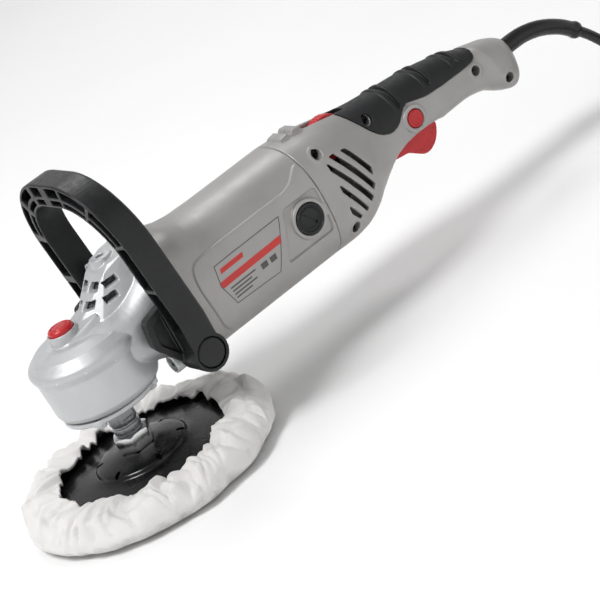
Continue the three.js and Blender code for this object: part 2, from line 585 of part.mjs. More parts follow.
function buildControls() {
  const [px, pz] = TRIGGER_PIVOT;
  const outline = [
    [px - 3.4, pz - 5], [262, 78.6], [274, 76.4], [284, 74.6], [289, 69.4], [295, 66.6], [302, 67.6], [308, 72],
    [312.6, 80], [312.6, 84], [300, 85.5], [280, 87], [px + 3, pz + 3.4], [px - 3, pz + 3],
  ];
  const trigger = cut(plateY(outline, -8, 8), rodY(1.8, px, -10, 10, pz, 12));
  add('trigger', trigger, redPlastic);
  add('trigger_pin', rodY(1.5, px, -16, 16, pz, 12), steel);
  add('trigger_spring', box(283, 289, -3, 3, 87.6, 94.2), steel);
  add('switch_body', box(264, 305, -8.5, 8.5, 94.6, 114), blackPlastic);
  add('lock_on_button', rodY(6.7, LOCK_ON[0], -23.6, -13, LOCK_ON[1], 24), redPlastic);
  const wheel = cut(rodY(DIAL_RADIUS, DIAL[0], -4.6, 4.6, DIAL[1], 36), rodY(2.3, DIAL[0], -10, 10, DIAL[1], 12));
  const knurls = Array.from({ length: 18 }, (_, i) =>
    rodY(0.9, DIAL_RADIUS + 0.35, -6, 6, 0, 6).rotate([0, i * 20, 0]).translate([DIAL[0], 0, DIAL[1]]));
  add('speed_dial', cut(wheel, ...knurls), redPlastic);
  add('speed_control_module', join(
    box(208, 226, -14, 14, 84, 102),
    rodY(2, DIAL[0], -6.5, 6.5, DIAL[1], 10),
    box(216, 237, 5.2, 7.6, 96, 122),
    box(216, 226, 5.2, 14, 96, 100),
  ), blackPlastic);
}

// ---- cord ----
const SLEEVE_PATH = [[384, 0, 90.2], [398, 0, 91.4], [415, 0, 91], [432, 0, 86.6], [448, 0, 78], [461, 0, 67]];
const CORD_PATH = [
  [461.9, 0, 66.1], [468, 0.3, 59.8], [476, 1, 50.2], [484, 1.9, 39.4], [492, 3, 28], [501, 4.2, 17],
  [512, 5.2, 8.6], [524, 5.8, 4.6], [535, 6, 4], [546, 6, 4],
];
const COIL_CENTRE = [578, -46];
const COIL_RADIUS = 44; // at the middle of the turns
const COIL_HALF_WIDTH = 12.5; // three turns side by side
const COIL_HEIGHT = 33; // four turns high
const PLUG_LEAD = [[547, -98, 26.4], [536, -98, 22.5], [526, -98, 17.2], [515.5, -98, 13.4], [508, -98, 13]];
const PLUG_Z = 13;

function sweep(path, radius, steps, sides) {
  const curve = new THREE.CatmullRomCurve3(path.map((point) => new THREE.Vector3(...point)), false, 'centripetal');
  const section = new THREE.Shape();
  section.absarc(0, 0, radius, 0, 2 * Math.PI);
  return solid(new THREE.ExtrudeGeometry(section, {
    steps, extrudePath: curve, curveSegments: Math.ceil(sides / 2), bevelEnabled: false,
  }));
}

function buildSleeve() {
  const inside = rodX(CORD_RADIUS, 361.6, 386, 0, 90.2, 12);
  add('cord_sleeve', join(sweep(SLEEVE_PATH, 6.2, 12, 12), inside), glossBlack);
  add('cord_clamp', box(362, 370, -13.5, 13.5, 94.8, 98.4), blackPlastic);
}

function buildCord() {
  add('cord', sweep(CORD_PATH, CORD_RADIUS, 8, 8), glossBlack);
  const [inner, outer] = [COIL_RADIUS - COIL_HALF_WIDTH, COIL_RADIUS + COIL_HALF_WIDTH];
  const coil = turned([
    [inner, 2], [inner + 2, 0], [outer - 2, 0], [outer, 2], [outer, COIL_HEIGHT - 2], [outer - 2, COIL_HEIGHT],
    [inner + 2, COIL_HEIGHT], [inner, COIL_HEIGHT - 2], [inner, 2],
  ], 32);
  add('cord_coil', coil.translate([COIL_CENTRE[0], COIL_CENTRE[1], 0]), glossBlack);
  const [plugX, plugY] = PLUG_LEAD.at(-1);
  const body = loft([
    [plugX - 62, 16, 11.5, 3], [plugX - 58, 18, 13, 3], [plugX - 38, 18, 13, 2.8], [plugX - 20, 11, 9, 2.4],
    [plugX - 10, 6.2, 6, 2], [plugX + 2, 5, 5, 2],
  ].map(([x, a, b, power]) => ringX([x, PLUG_Z, a, b, power], 16)));
  const pins = [-9.5, 9.5].map((y) => rodX(2.4, plugX - 81, plugX - 60, y, PLUG_Z, 12));
  const lead = sweep(PLUG_LEAD, CORD_RADIUS, 5, 8);
  add('plug', join(join(body, ...pins).translate([0, plugY, 0]), lead), glossBlack);
}

buildPad();
buildSpindle();
buildCrownGear();
buildPinion();
buildGearHousing();
buildGearCover();
buildSpindleLock();
buildHeadScrews();
buildLoopHandle();
buildMotorHousing();
buildBrushes();
buildStator();
buildArmature();
buildTail();
buildControls();
buildSleeve();
buildCord();

export default root;
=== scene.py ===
"""The looks of a rotary polisher: gear head, loop handle, motor, tail handle, pad, bonnet and cord.

Lengths are in millimetres until a mesh is made. +Z runs up the spindle from the bonnet's face and +X runs
along the motor towards the cord, so the tool's left side is -Y.
"""
import math

import bmesh
import bpy
from mathutils import Matrix, Vector, noise


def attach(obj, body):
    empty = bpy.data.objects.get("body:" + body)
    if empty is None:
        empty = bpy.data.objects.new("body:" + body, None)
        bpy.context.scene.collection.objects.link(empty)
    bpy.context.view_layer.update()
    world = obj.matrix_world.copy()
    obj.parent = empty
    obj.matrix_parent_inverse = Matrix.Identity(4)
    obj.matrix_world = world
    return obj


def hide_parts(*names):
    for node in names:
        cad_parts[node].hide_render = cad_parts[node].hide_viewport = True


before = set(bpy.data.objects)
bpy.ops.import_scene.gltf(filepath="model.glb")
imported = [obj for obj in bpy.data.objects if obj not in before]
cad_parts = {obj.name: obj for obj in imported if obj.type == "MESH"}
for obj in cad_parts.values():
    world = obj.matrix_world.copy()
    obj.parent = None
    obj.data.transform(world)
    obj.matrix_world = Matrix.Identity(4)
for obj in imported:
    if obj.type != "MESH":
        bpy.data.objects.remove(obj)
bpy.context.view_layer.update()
scene = bpy.context.scene
MM = 0.001

# ---- driving dimensions, as in the CAD ----
GAP = 0.3
AXIS_Z = 96
AXIS = (0, AXIS_Z)
SIDES = ((-1, "left"), (1, "right"))
BOWL_X = 2
FLANGE_X = 66.4
SEAM_X = 188.6
BRUSH_X = 171.5
BRUSH = (BRUSH_X, AXIS_Z)
LOOP_X = 52
LOOP_BOLT_Z = 74
LOOP_BOLT = (LOOP_X, LOOP_BOLT_Z)
LOOP_REACH = 58.5
LOOP_TOP = 203.5
LOOP_CORNER = 46.5
LOOP_HALF = 8.5
LOOP_DEPTH = 21
LOOP_LEAN = 0.09
BUTTON_X = -5.4
COVER_SCREW_RADIUS = 30.6
# y, z, and x of the front of the head
HEAD_SCREWS = [(-35.5, 131, 46.5), (35.5, 131, 46.5), (-35.5, 71, 36.5), (35.5, 71, 36.5)]
LOCK_ON = (290.9, 99)
DIAL = (234.5, 119.5)
DIAL_RADIUS = 16
SLEEVE_Z = 90.6
GRIP_DEPTH = 2.4
CORD_RADIUS = 4


# ---- camera ----
CAMERA_PLACE = (-462.6, -1325.9, 613.1)
CAMERA_AIM = (-25.01, 21.55, -28.71)  # azimuth, elevation and roll in degrees
LENS_MM = 135.87
SENSOR_MM = 36


def add_object(name, data):
    obj = bpy.data.objects.new(name, data)
    scene.collection.objects.link(obj)
    return obj


def aim(azimuth, elevation, roll):
    """How something is turned that looks down at an elevation and rolls about its own line of sight."""
    az, el, turn = (math.radians(angle) for angle in (azimuth, elevation, roll))
    back = Vector((math.sin(az) * math.cos(el), -math.cos(az) * math.cos(el), math.sin(el)))
    level = (-back).cross(Vector((0, 0, 1))).normalized()
    upright = level.cross(-back)
    right = level * math.cos(turn) + upright * math.sin(turn)
    return Matrix((right, back.cross(right), back)).transposed().to_4x4()


def make_camera():
    data = bpy.data.cameras.new("camera")
    data.lens = LENS_MM
    data.sensor_width = SENSOR_MM
    camera = add_object("camera", data)
    camera.matrix_world = Matrix.Translation(Vector(CAMERA_PLACE) * MM) @ aim(*CAMERA_AIM)
    scene.camera = camera


make_camera()


# ---- paths ----
def smooth_path(points, steps):
    """Points of a Catmull-Rom curve through the given points."""
    ends = [Vector(points[0]) * 2 - Vector(points[1]), Vector(points[-1]) * 2 - Vector(points[-2])]
    line = [ends[0], *(Vector(point) for point in points), ends[1]]
    result = []
    for a, b, c, d in zip(line, line[1:], line[2:], line[3:]):
        for step in range(steps):
            t = step / steps
            result.append(0.5 * (
                2 * b + (c - a) * t + (2 * a - 5 * b + 4 * c - d) * t ** 2 + (3 * b - a - 3 * c + d) * t ** 3
            ))
    return [*result, line[-2]]


def ease(t):
    t = min(1.0, max(0.0, t))
    return t * t * (3 - 2 * t)


# ---- mesh helpers ----
def piece(name, points, faces):
    mesh = bpy.data.meshes.new(name)
    mesh.from_pydata([Vector(point) * MM for point in points], [], faces)
    shape = bmesh.new()
    shape.from_mesh(mesh)
    bmesh.ops.recalc_face_normals(shape, faces=shape.faces)
    shape.to_mesh(mesh)
    shape.free()
    return add_object(name, mesh)


def loft(name, rings):
    """A closed skin through rings of equal point counts."""
    count = len(rings[0])
    points = [point for ring in rings for point in ring]
    faces = [list(range(count)), list(range(len(points) - count, len(points)))]
    for start in range(0, len(points) - count, count):
        for i in range(count):
            j = (i + 1) % count
            faces.append([start + i, start + j, start + count + j, start + count + i])
    return piece(name, points, faces)


def place(axis, a, b, height):
    return {"x": (height, a, b), "y": (a, height, b), "z": (a, b, height)}[axis]


def span(side, near, far):
    """Two distances from the middle plane on one side of it, the lower value first."""
    return sorted((side * near, side * far))


def prism(name, axis, outline, low, high):
    """An outline in the two other axes, pushed along one axis."""
    return loft(name, [[place(axis, a, b, height) for a, b in outline] for height in (low, high)])


def circle(radius, centre=(0, 0), sides=48):
    turn = [2 * math.pi * i / sides for i in range(sides)]
    return [(centre[0] + radius * math.cos(angle), centre[1] + radius * math.sin(angle)) for angle in turn]


def rod(name, axis, radius, centre, low, high, sides=48):
    return prism(name, axis, circle(radius, centre, sides), low, high)


def box(name, low, high):
    corners = [(low[0], low[1]), (high[0], low[1]), (high[0], high[1]), (low[0], high[1])]
    return prism(name, "z", corners, low[2], high[2])


def lathe(name, profile, axis="z", centre=(0, 0), sides=96):
    """A turned solid, from its [radius, height] outline, which runs from pole to pole or closes on itself."""
    points, rows, faces = [], [], []
    for radius, height in profile:
        turn = circle(radius, centre, sides) if radius > 1e-6 else [centre]
        rows.append(range(len(points), len(points) + len(turn)))
        points += [place(axis, a, b, height) for a, b in turn]
    closed = profile[0][0] > 1e-6
    for lower, upper in zip(rows, [*rows[1:], *(rows[:1] if closed else [])]):
        for i in range(sides):
            j = (i + 1) % sides
            under, over = len(lower), len(upper)
            face = list(dict.fromkeys([lower[i % under], lower[j % under], upper[j % over], upper[i % over]]))
            if len(face) > 2:
                faces.append(face)
    return piece(name, points, faces)


def hull(name, corners):
    """The convex solid round corners (x, distance from the middle plane, z) on both sides."""
    shape = bmesh.new()
    for x, y, z in corners:
        for side in (-1, 1):
            shape.verts.new(Vector((x, side * y, z)) * MM)
    bmesh.ops.remove_doubles(shape, verts=shape.verts, dist=1e-6)
    bmesh.ops.convex_hull(shape, input=shape.verts)
    bmesh.ops.delete(shape, geom=[vert for vert in shape.verts if not vert.link_faces], context="VERTS")
    mesh = bpy.data.meshes.new(name)
    shape.to_mesh(mesh)
    shape.free()
    return add_object(name, mesh)


def rounded(outline, radius, steps=4, closed=True):
    """An outline with its corners rounded."""
    result = []
    for i, corner in enumerate(outline):
        if not closed and i in (0, len(outline) - 1):
            result.append(tuple(corner))
            continue
        here = Vector(corner)
        before = Vector(outline[i - 1]) - here
        after = Vector(outline[(i + 1) % len(outline)]) - here
        reach = min(radius, before.length * 0.45, after.length * 0.45)
        start = here + before.normalized() * reach
        end = here + after.normalized() * reach
        for step in range(steps + 1):
            t = step / steps
            result.append(tuple(start * (1 - t) ** 2 + here * (2 * t * (1 - t)) + end * t ** 2))
    return result


def capsule(start, end, width, steps=8):
    """The outline of a slot with round ends between two points."""
    start, end = Vector(start), Vector(end)
    heading = math.atan2(end[1] - start[1], end[0] - start[0])
    result = []
    for middle, turn in ((end, -math.pi / 2), (start, math.pi / 2)):
        for step in range(steps + 1):
            angle = heading + turn + math.pi * step / steps
            result.append((middle[0] + width / 2 * math.cos(angle), middle[1] + width / 2 * math.sin(angle)))
    return result


def tube(name, path, radii, sides=32):
    """A closed tube along a path, with a radius for each of its points."""
    path = [Vector(point) for point in path]
    side = Vector((0, 1, 0))
    rings = []
    for i, (point, radius) in enumerate(zip(path, radii)):
        along = (path[min(i + 1, len(path) - 1)] - path[max(i - 1, 0)]).normalized()
        up = along.cross(side).normalized()
        side = up.cross(along).normalized()
        rings.append([tuple(point + side * a + up * b) for a, b in circle(radius, sides=sides)])
    return loft(name, rings)


def settle(obj):
    """Applies the piece's modifiers."""
    mesh = bpy.data.meshes.new_from_object(obj.evaluated_get(bpy.context.evaluated_depsgraph_get()))
    obj.modifiers.clear()
    obj.data = mesh
    return obj


def combine(base, add=(), cut=(), keep=()):
    for tools, operation in ((add, "UNION"), (cut, "DIFFERENCE"), (keep, "INTERSECT")):
        for tool in tools:
            modifier = base.modifiers.new(operation, "BOOLEAN")
            modifier.solver = "MANIFOLD"
            modifier.operation = operation
            modifier.object = tool
    settle(base)
    for tool in (*add, *cut, *keep):
        bpy.data.objects.remove(tool)
    return base


def smooth(obj, angle=None):
    obj.data.shade_smooth()
    if angle:
        obj.data.set_sharp_from_angle(angle=math.radians(angle))
    return obj


def melt(obj, voxel, rounds):
    """Rounds every edge, as on a moulding or a casting."""
    remesh = obj.modifiers.new("remesh", "REMESH")
    remesh.mode = "VOXEL"
    remesh.voxel_size = voxel * MM
    soften = obj.modifiers.new("soften", "SMOOTH")
    soften.factor = 0.5
    soften.iterations = rounds
    return smooth(settle(obj))


def bevel(obj, width, segments=3, angle=35):
    edges = obj.modifiers.new("bevel", "BEVEL")
    edges.width = width * MM
    edges.segments = segments
    edges.limit_method = "ANGLE"
    edges.angle_limit = math.radians(angle)
    edges.harden_normals = False
    settle(obj)
    return smooth(obj, 40)


def finish(obj, body, slot, *nodes, look=None):
    """Gives a piece its look, by default the one of its slot, and ties it to its body and its CAD nodes."""
    obj.data.materials.clear()
    obj.data.materials.append(look or LOOKS[slot])
    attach(obj, body)
    if nodes:
        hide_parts(*nodes)
    return obj


# ---- bodies of superellipse sections [x, z, half width, half height, power] ----
MOTOR_SECTIONS = [
    (FLANGE_X + GAP, 100.5, 43, 46, 3.4), (80, 100, 42.7, 45.7, 3.2), (96, 97, 41.7, 44.6, 2.6),
    (110, AXIS_Z, 41.7, 44.4, 2.4), (SEAM_X - GAP, AXIS_Z, 41.7, 44.4, 2.4),
]
TAIL_SECTIONS = [
    (SEAM_X, AXIS_Z, 41.7, 44.4, 2.4), (205, 95.2, 41.5, 44, 2.4), (220, 94.8, 39.5, 42.2, 2.4),
    (235, 95.8, 34.5, 38.5, 2.3), (248, 98, 28.5, 33.5, 2.2), (262, 100.5, 24, 28.5, 2.2),
    (280, 101.8, 22, 25.2, 2.2), (300, 102, 21, 23.3, 2.2), (322, 101, 20, 21.3, 2.2),
    (345, 98.8, 19, 18.8, 2.2), (360, 94.8, 18.6, 17.8, 2.2), (369.5, 90.5, 21.6, 21, 2.5),
    (371, 90, 22, 21.3, 2.6), (383, 86.5, 21, 20.8, 2.6), (389.5, 85.6, 17.5, 18.8, 2.4),
    (394, 87, 12, 14.4, 2.2),
]
NECK_SECTIONS = [
    (2, 97, 36, 20, 3), (25, 98, 37.5, 22.5, 3), (45, 99, 38, 31, 3.2), (56, 100, 40, 41.5, 3.4),
    (60, 100.5, 43, 46, 3.4), (FLANGE_X, 100.5, 43, 46, 3.4),
]


def refined(sections, steps=5):
    """More sections between the given ones, with slopes that never overshoot."""
    slopes = []
    for i in range(len(sections)):
        around = sections[max(i - 1, 0):i + 2]
        steepness = [
            [(b - a) / (after[0] - before[0]) for a, b in zip(before, after)]
            for before, after in zip(around, around[1:])
        ]
        slopes.append([
            0 if min(rates) < 0 < max(rates) else min(rates, key=abs) * 0.5 + sum(rates) / len(rates) * 0.5
            for rates in zip(*steepness)
        ])
    result = []
    for i, (before, after) in enumerate(zip(sections, sections[1:])):
        length = after[0] - before[0]
        for step in range(steps):
            t = step / steps
            start, end = 2 * t ** 3 - 3 * t ** 2 + 1, 3 * t ** 2 - 2 * t ** 3
            leave, arrive = t ** 3 - 2 * t ** 2 + t, t ** 3 - t ** 2
            result.append(tuple(
                start * a + leave * length * slopes[i][k] + end * b + arrive * length * slopes[i + 1][k]
                for k, (a, b) in enumerate(zip(before, after))
            ))
    return [*result, sections[-1]]


# the tail flares into a hood at a crease, which leans back by a slant and fades out over a reach
HOOD_X = 371
HOOD_SLANT = 0.2
HOOD_REACH = 9


def skin(name, sections, inset=0.0, count=96):
    rings = []
    for x, z, width, height, power in sections:
        ring = []
        for i in range(count):
            c, s = math.cos(2 * math.pi * i / count), math.sin(2 * math.pi * i / count)
            y = (width - inset) * math.copysign(abs(c) ** (2 / power), c)
            up = (height - inset) * math.copysign(abs(s) ** (2 / power), s)
            ring.append((x - HOOD_SLANT * up * math.exp(-((x - HOOD_X) / HOOD_REACH) ** 2), y, z + up))
        rings.append(ring)
    return loft(name, rings)


def half_width(sections, x, z, out=0.0):
    """How far a body's side, moved out by a distance, stands from the middle plane at a place."""
    for before, after in zip(sections, sections[1:]):
        if before[0] <= x <= after[0]:
            t = (x - before[0]) / (after[0] - before[0])
            _, middle, width, height, power = (a + (b - a) * t for a, b in zip(before, after))
            share = max(0.0, 1 - abs((z - middle) / (height + out)) ** power)
            return (width + out) * share ** (1 / power)
    return 0.0


MOTOR = refined(MOTOR_SECTIONS)
TAIL = refined(TAIL_SECTIONS)
NECK = refined(NECK_SECTIONS)


# ---- materials ----
def linear(hex_colour):
    parts = [int(hex_colour[i:i + 2], 16) / 255 for i in (0, 2, 4)]
    return [part / 12.92 if part <= 0.04045 else ((part + 0.055) / 1.055) ** 2.4 for part in parts]


def map_range(tree, value, start, end, low, high):
    """A value from start to end, spread over a range from low to high."""
    node = tree.nodes.new("ShaderNodeMapRange")
    for socket, number in zip(("From Min", "From Max", "To Min", "To Max"), (start, end, low, high)):
        node.inputs[socket].default_value = number
    tree.links.new(value, node.inputs["Value"])
    return node.outputs["Result"]


class Surface:
    """A material whose colour, roughness and bump vary over the piece."""

    def __init__(self, name, colour, roughness, metallic=0.0, specular=0.5):
        self.material = bpy.data.materials.new(name)
        self.material.use_nodes = True
        self.nodes = self.material.node_tree.nodes
        self.links = self.material.node_tree.links
        self.shader = self.nodes["Principled BSDF"]
        self.shader.inputs["Metallic"].default_value = metallic
        self.shader.inputs["Specular IOR Level"].default_value = specular
        self.place = self.nodes.new("ShaderNodeTexCoord").outputs["Object"]
        self.colour = linear(colour)
        self.roughness = roughness
        self.height = None
        self.tint = None

    def set(self, name, value):
        self.shader.inputs[name].default_value = value
        return self

    def noise(self, size, detail=3.0, stretch=(1, 1, 1), distortion=0.0):
        """Noise with features of a size in millimetres."""
        spread = self.nodes.new("ShaderNodeMapping")
        spread.inputs["Scale"].default_value = stretch
        self.links.new(self.place, spread.inputs["Vector"])
        texture = self.nodes.new("ShaderNodeTexNoise")
        texture.inputs["Scale"].default_value = 1000 / size
        texture.inputs["Detail"].default_value = detail
        texture.inputs["Distortion"].default_value = distortion
        self.links.new(spread.outputs["Vector"], texture.inputs["Vector"])
        return texture.outputs["Fac"]

    def spread(self, value, low, high, start=0.3, end=0.7):
        return map_range(self.material.node_tree, value, start, end, low, high)

    def blotch(self, value, other, start=0.35, end=0.7):
        """Blends the colour so far towards another one where the value is high."""
        mix = self.nodes.new("ShaderNodeMix")
        mix.data_type = "RGBA"
        self.links.new(self.spread(value, 0, 1, start, end), mix.inputs["Factor"])
        if self.tint:
            self.links.new(self.tint, mix.inputs["A"])
        else:
            mix.inputs["A"].default_value = (*self.colour, 1)
        mix.inputs["B"].default_value = (*linear(other), 1)
        self.tint = mix.outputs["Result"]
        self.links.new(self.tint, self.shader.inputs["Base Color"])
        return self

    def rough(self, value, change):
        low, high = self.roughness - change, self.roughness + change
        self.links.new(self.spread(value, low, high), self.shader.inputs["Roughness"])
        return self

    def bump(self, value, depth, strength=1.0):
        """Adds relief of a depth in millimetres."""
        node = self.nodes.new("ShaderNodeBump")
        node.inputs["Strength"].default_value = strength
        node.inputs["Distance"].default_value = depth * MM
        self.links.new(value, node.inputs["Height"])
        if self.height:
            self.links.new(self.height, node.inputs["Normal"])
        self.height = node.outputs["Normal"]
        self.links.new(self.height, self.shader.inputs["Normal"])
        return self

    def edges(self, other, start=0.52, end=0.6):
        """Wear where the surface is sharply convex."""
        return self.blotch(self.nodes.new("ShaderNodeNewGeometry").outputs["Pointiness"], other, start, end)


def plain(name, colour, shade, roughness, patches, sheen, grain, worn=None, **shader):
    """A surface with patches of a second colour, a sheen (size, change) and a grain (size, detail, depth)."""
    look = Surface(name, colour, roughness, **shader)
    look.blotch(look.noise(patches), shade)
    if worn:
        look.edges(*worn)
    look.rough(look.noise(sheen[0]), sheen[1])
    return look.bump(look.noise(*grain[:2]), grain[2])


def turned_steel(name, colour, roughness, shade="8f9193"):
    look = Surface(name, colour, roughness, metallic=1.0)
    look.blotch(look.noise(24), shade, 0.4, 0.8)
    return look.rough(look.noise(2), 0.05).bump(look.noise(0.4, 2, stretch=(0.1, 0.1, 1)), 0.002).material


def bonnet_cloth():
    look = Surface("bonnet_cloth", "e0dedc", 0.95, specular=0.15)
    look.set("Sheen Weight", 0.35).set("Sheen Roughness", 0.5)
    # Painted shade: the cloth is blended to grey towards its bottom, near the floor; the noise breaks this up
    # and adds grey patches at random.
    height = look.nodes.new("ShaderNodeSeparateXYZ")
    look.links.new(look.place, height.inputs["Vector"])
    low = look.nodes.new("ShaderNodeMath")
    low.operation = "ADD"
    look.links.new(look.spread(height.outputs["Z"], 0.55, 0.0, 0.0, 0.013), low.inputs[0])
    look.links.new(look.noise(13, 4), low.inputs[1])
    look.blotch(low.outputs["Value"], "9d9c9b", 0.6, 1.1)
    look.blotch(look.noise(1.6, 3), "dddcda", 0.5, 0.85)
    look.rough(look.noise(2), 0.04).bump(look.noise(3.2, 3), 0.5, 0.5)
    return look.bump(look.noise(0.7, 3), 0.22, 0.7).material


def ink(name, colour):
    return plain(name, colour, colour, 0.38, 3, (2, 0.05), (0.3, 2, 0.004)).material


def wound(name, colour, other, metallic):
    """Copper, laminations and other inner parts, with fine lines across the motor's axis."""
    look = Surface(name, colour, 0.4, metallic=metallic)
    look.blotch(look.noise(2.2, 2, stretch=(1, 0.1, 0.1)), other, 0.4, 0.6)
    return look.rough(look.noise(3), 0.08).bump(look.noise(0.9, 2, stretch=(1, 0.1, 0.1)), 0.08).material


LOOKS = {
    "cast_aluminium": plain(
        "cast_metal", "c6c7c8", "bfc1c3", 0.46, 30, (6, 0.07), (1.3, 4, 0.07),
        ("e2e3e4", 0.53, 0.62), metallic=0.5,
    ).material,
    "steel": turned_steel("steel", "b4b6b8", 0.28),
    "dark_steel": turned_steel("dark_steel", "9b9da0", 0.3),
    "chrome": turned_steel("chrome", "e4e5e6", 0.2, "c4c6c8"),
    "grey_plastic": plain(
        "silver_plastic", "a5a3a1", "9c9a98", 0.42, 40, (8, 0.05), (0.5, 2, 0.012),
        ("b9b8b6", 0.53, 0.62), metallic=0.35,
    ).material,
    "black_plastic": plain(
        "black_plastic", "121314", "18191b", 0.4, 12, (4, 0.08), (0.6, 3, 0.03),
        ("4a4c4f", 0.54, 0.66), specular=0.4,
    ).material,
    "soft_rubber": plain(
        "soft_rubber", "151617", "1b1c1e", 0.52, 15, (5, 0.08), (0.35, 2, 0.03), specular=0.4
    ).material,
    "gloss_black": plain(
        "gloss_black", "070708", "0c0c0e", 0.24, 20, (9, 0.07), (2.5, 3, 0.015), specular=0.35
    ).set("Coat Weight", 0.15).set("Coat Roughness", 0.12).material,
    "red_plastic": plain(
        "red_plastic", "c01c22", "b3171d", 0.32, 9, (3, 0.06), (0.4, 2, 0.012), ("d23338", 0.53, 0.62)
    ).material,
    "cloth": bonnet_cloth(),
    "black_screw": turned_steel("black_screw", "2b2c2e", 0.42, "1d1e1f"),
    "copper": wound("copper", "b87345", "8f5230", 0.9),
    "lamination": wound("lamination", "74777a", "4c4f52", 0.8),
    "carbon": wound("carbon", "26272a", "3a3b3e", 0.1),
}
CORD_LOOK = plain("cord_rubber", "0b0b0c", "101112", 0.3, 10, (3, 0.07), (0.8, 3, 0.03)).material
RED_INK = ink("red_ink", "c4322f")
DARK_INK = ink("dark_ink", "4e4d4c")


# ---- cord ----
# the middle lines of the sleeve and of the cord, which lies in a coil between CORD_PATH and PLUG_LEAD
SLEEVE_PATH = [(384, 0, 90.2), (398, 0, 91.4), (415, 0, 91), (432, 0, 86.6), (448, 0, 78), (461, 0, 67)]
CORD_PATH = [
    (461.9, 0, 66.1), (468, 0.3, 59.8), (476, 1, 50.2), (484, 1.9, 39.4), (492, 3, 28), (501, 4.2, 17),
    (512, 5.2, 8.6), (524, 5.8, 4.6), (535, 6, 4), (546, 6, 4),
]
COIL_CENTRE = (578, -46)
COIL_RADIUS = 44
COIL_PITCH = 8.2
COIL_LAYERS = 4
COIL_TURNS = 8.5
COIL_STEPS = 24  # points in a turn
COIL_HEIGHT = 5  # of the lowest layer's middle line
RISE = 0.25  # the share of a turn in which the cord climbs to the next layer
PLUG_LEAD = [(547, -98, 26.4), (536, -98, 22.5), (526, -98, 17.2), (515.5, -98, 13.4), (508, -98, 13)]
PLUG_Z = 13
PIN_HALF_PITCH = 9.5


def coil_points():
    """Turns that spiral inwards on one layer and back outwards on the next."""
    run = (COIL_TURNS - RISE * (COIL_LAYERS - 1)) / COIL_LAYERS
    points = []
    for step in range(1, int(COIL_TURNS * COIL_STEPS) + 1):
        turns = step / COIL_STEPS
        layer, along = divmod(turns, run + RISE)
        inward = min(along / run, 1)
        if layer % 2:
            inward = 1 - inward
        radius = COIL_RADIUS + COIL_PITCH * (1 - 2 * inward)
        height = COIL_HEIGHT + COIL_PITCH * (layer + ease((along - run) / RISE))
        angle = math.pi / 2 - 2 * math.pi * turns
        points.append((
            COIL_CENTRE[0] + radius * math.cos(angle), COIL_CENTRE[1] + radius * math.sin(angle), height
        ))
    return points


def make_cord():
    data = bpy.data.curves.new("flex", "CURVE")
    data.dimensions = "3D"
    data.bevel_depth = CORD_RADIUS * MM
    data.bevel_resolution = 6
    data.use_fill_caps = True
    data.resolution_u = 4
    spline = data.splines.new("BEZIER")
    points = [*CORD_PATH, *coil_points(), *PLUG_LEAD]
    spline.bezier_points.add(len(points) - 1)
    for knot, point in zip(spline.bezier_points, points):
        knot.co = Vector(point) * MM
        knot.handle_left_type = knot.handle_right_type = "AUTO"
    flex = add_object("flex", data)
    data.materials.append(CORD_LOOK)
    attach(flex, "housing")
    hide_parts("cord", "cord_coil")
    return flex


def make_plug():
    x, y = PLUG_LEAD[-1][:2]
    sections = [
        (x - 62, PLUG_Z, 15, 10.5, 3), (x - 61, PLUG_Z, 16.6, 12, 3), (x - 57, PLUG_Z, 18, 13, 3),
        (x - 38, PLUG_Z, 18, 13, 2.8), (x - 28, PLUG_Z, 14.5, 11, 2.6), (x - 20, PLUG_Z, 10.4, 8.6, 2.4),
        (x - 10, PLUG_Z, 6.2, 6, 2), (x + 2, PLUG_Z, 5, 5, 2),
    ]
    body = skin("plug_body", refined(sections, 4), count=64)
    ribs = [
        lathe("rib", [(4.2, h), (7, h), (7, h + 1.2), (4.2, h + 1.2)], "x", (0, PLUG_Z), 32)
        for h in (x - 12, x - 8.6, x - 5.2, x - 1.8)
    ]
    grips = [
        prism("groove", "z", [(h, -25), (h + 2, -25), (h + 2, 25), (h, 25)], PLUG_Z + 11.9, PLUG_Z + 20)
        for h in (x - 54, x - 50, x - 46)
    ]
    combine(body, add=ribs, cut=grips)
    melt(body, 0.5, 3)
    body.data.transform(Matrix.Translation((0, y * MM, 0)))
    finish(body, "housing", "gloss_black", "plug", look=CORD_LOOK)
    pins = []
    for side in (-PIN_HALF_PITCH, PIN_HALF_PITCH):
        profile = [(0, x - 81), (1.6, x - 81), (2.4, x - 79.6), (2.4, x - 60), (0, x - 60)]
        pin = lathe("plug_pin", profile, "x", (y + side, PLUG_Z), 32)
        pins.append(finish(smooth(pin, 40), "housing", "chrome"))
    return [body, *pins]


def make_tie():
    """A strap round the coil's turns."""
    middle, half = COIL_RADIUS, COIL_PITCH + CORD_RADIUS + 0.5
    outline = rounded([
        (middle - half, 0.4), (middle + half, 0.4), (middle + half, 34.2), (middle - half, 34.2)
    ], 6, 8)
    inner = [(middle + (a - middle) * 0.93, 17.3 + (b - 17.3) * 0.95) for a, b in outline]
    tie = combine(prism("cord_tie", "x", outline, -6, 6), cut=[prism("hole", "x", inner, -7, 7)])
    turn = Matrix.Rotation(math.radians(-120), 4, "Z")
    tie.data.transform(Matrix.Translation(Vector((*COIL_CENTRE, 0)) * MM) @ turn)
    return finish(smooth(tie, 40), "housing", "soft_rubber")


def make_sleeve():
    path = smooth_path(SLEEVE_PATH, 12)
    radii = []
    for i in range(len(path)):
        share = i / (len(path) - 1)
        collar = 0.9 * math.exp(-((share - 0.97) / 0.03) ** 2)
        radii.append(6.9 - 1.2 * share ** 0.8 + collar)
    sleeve = smooth(tube("sleeve", path, radii, 40), 50)
    finish(sleeve, "housing", "gloss_black", "cord_sleeve", look=CORD_LOOK)


flex = make_cord()
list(make_plug())
make_tie()
make_sleeve()


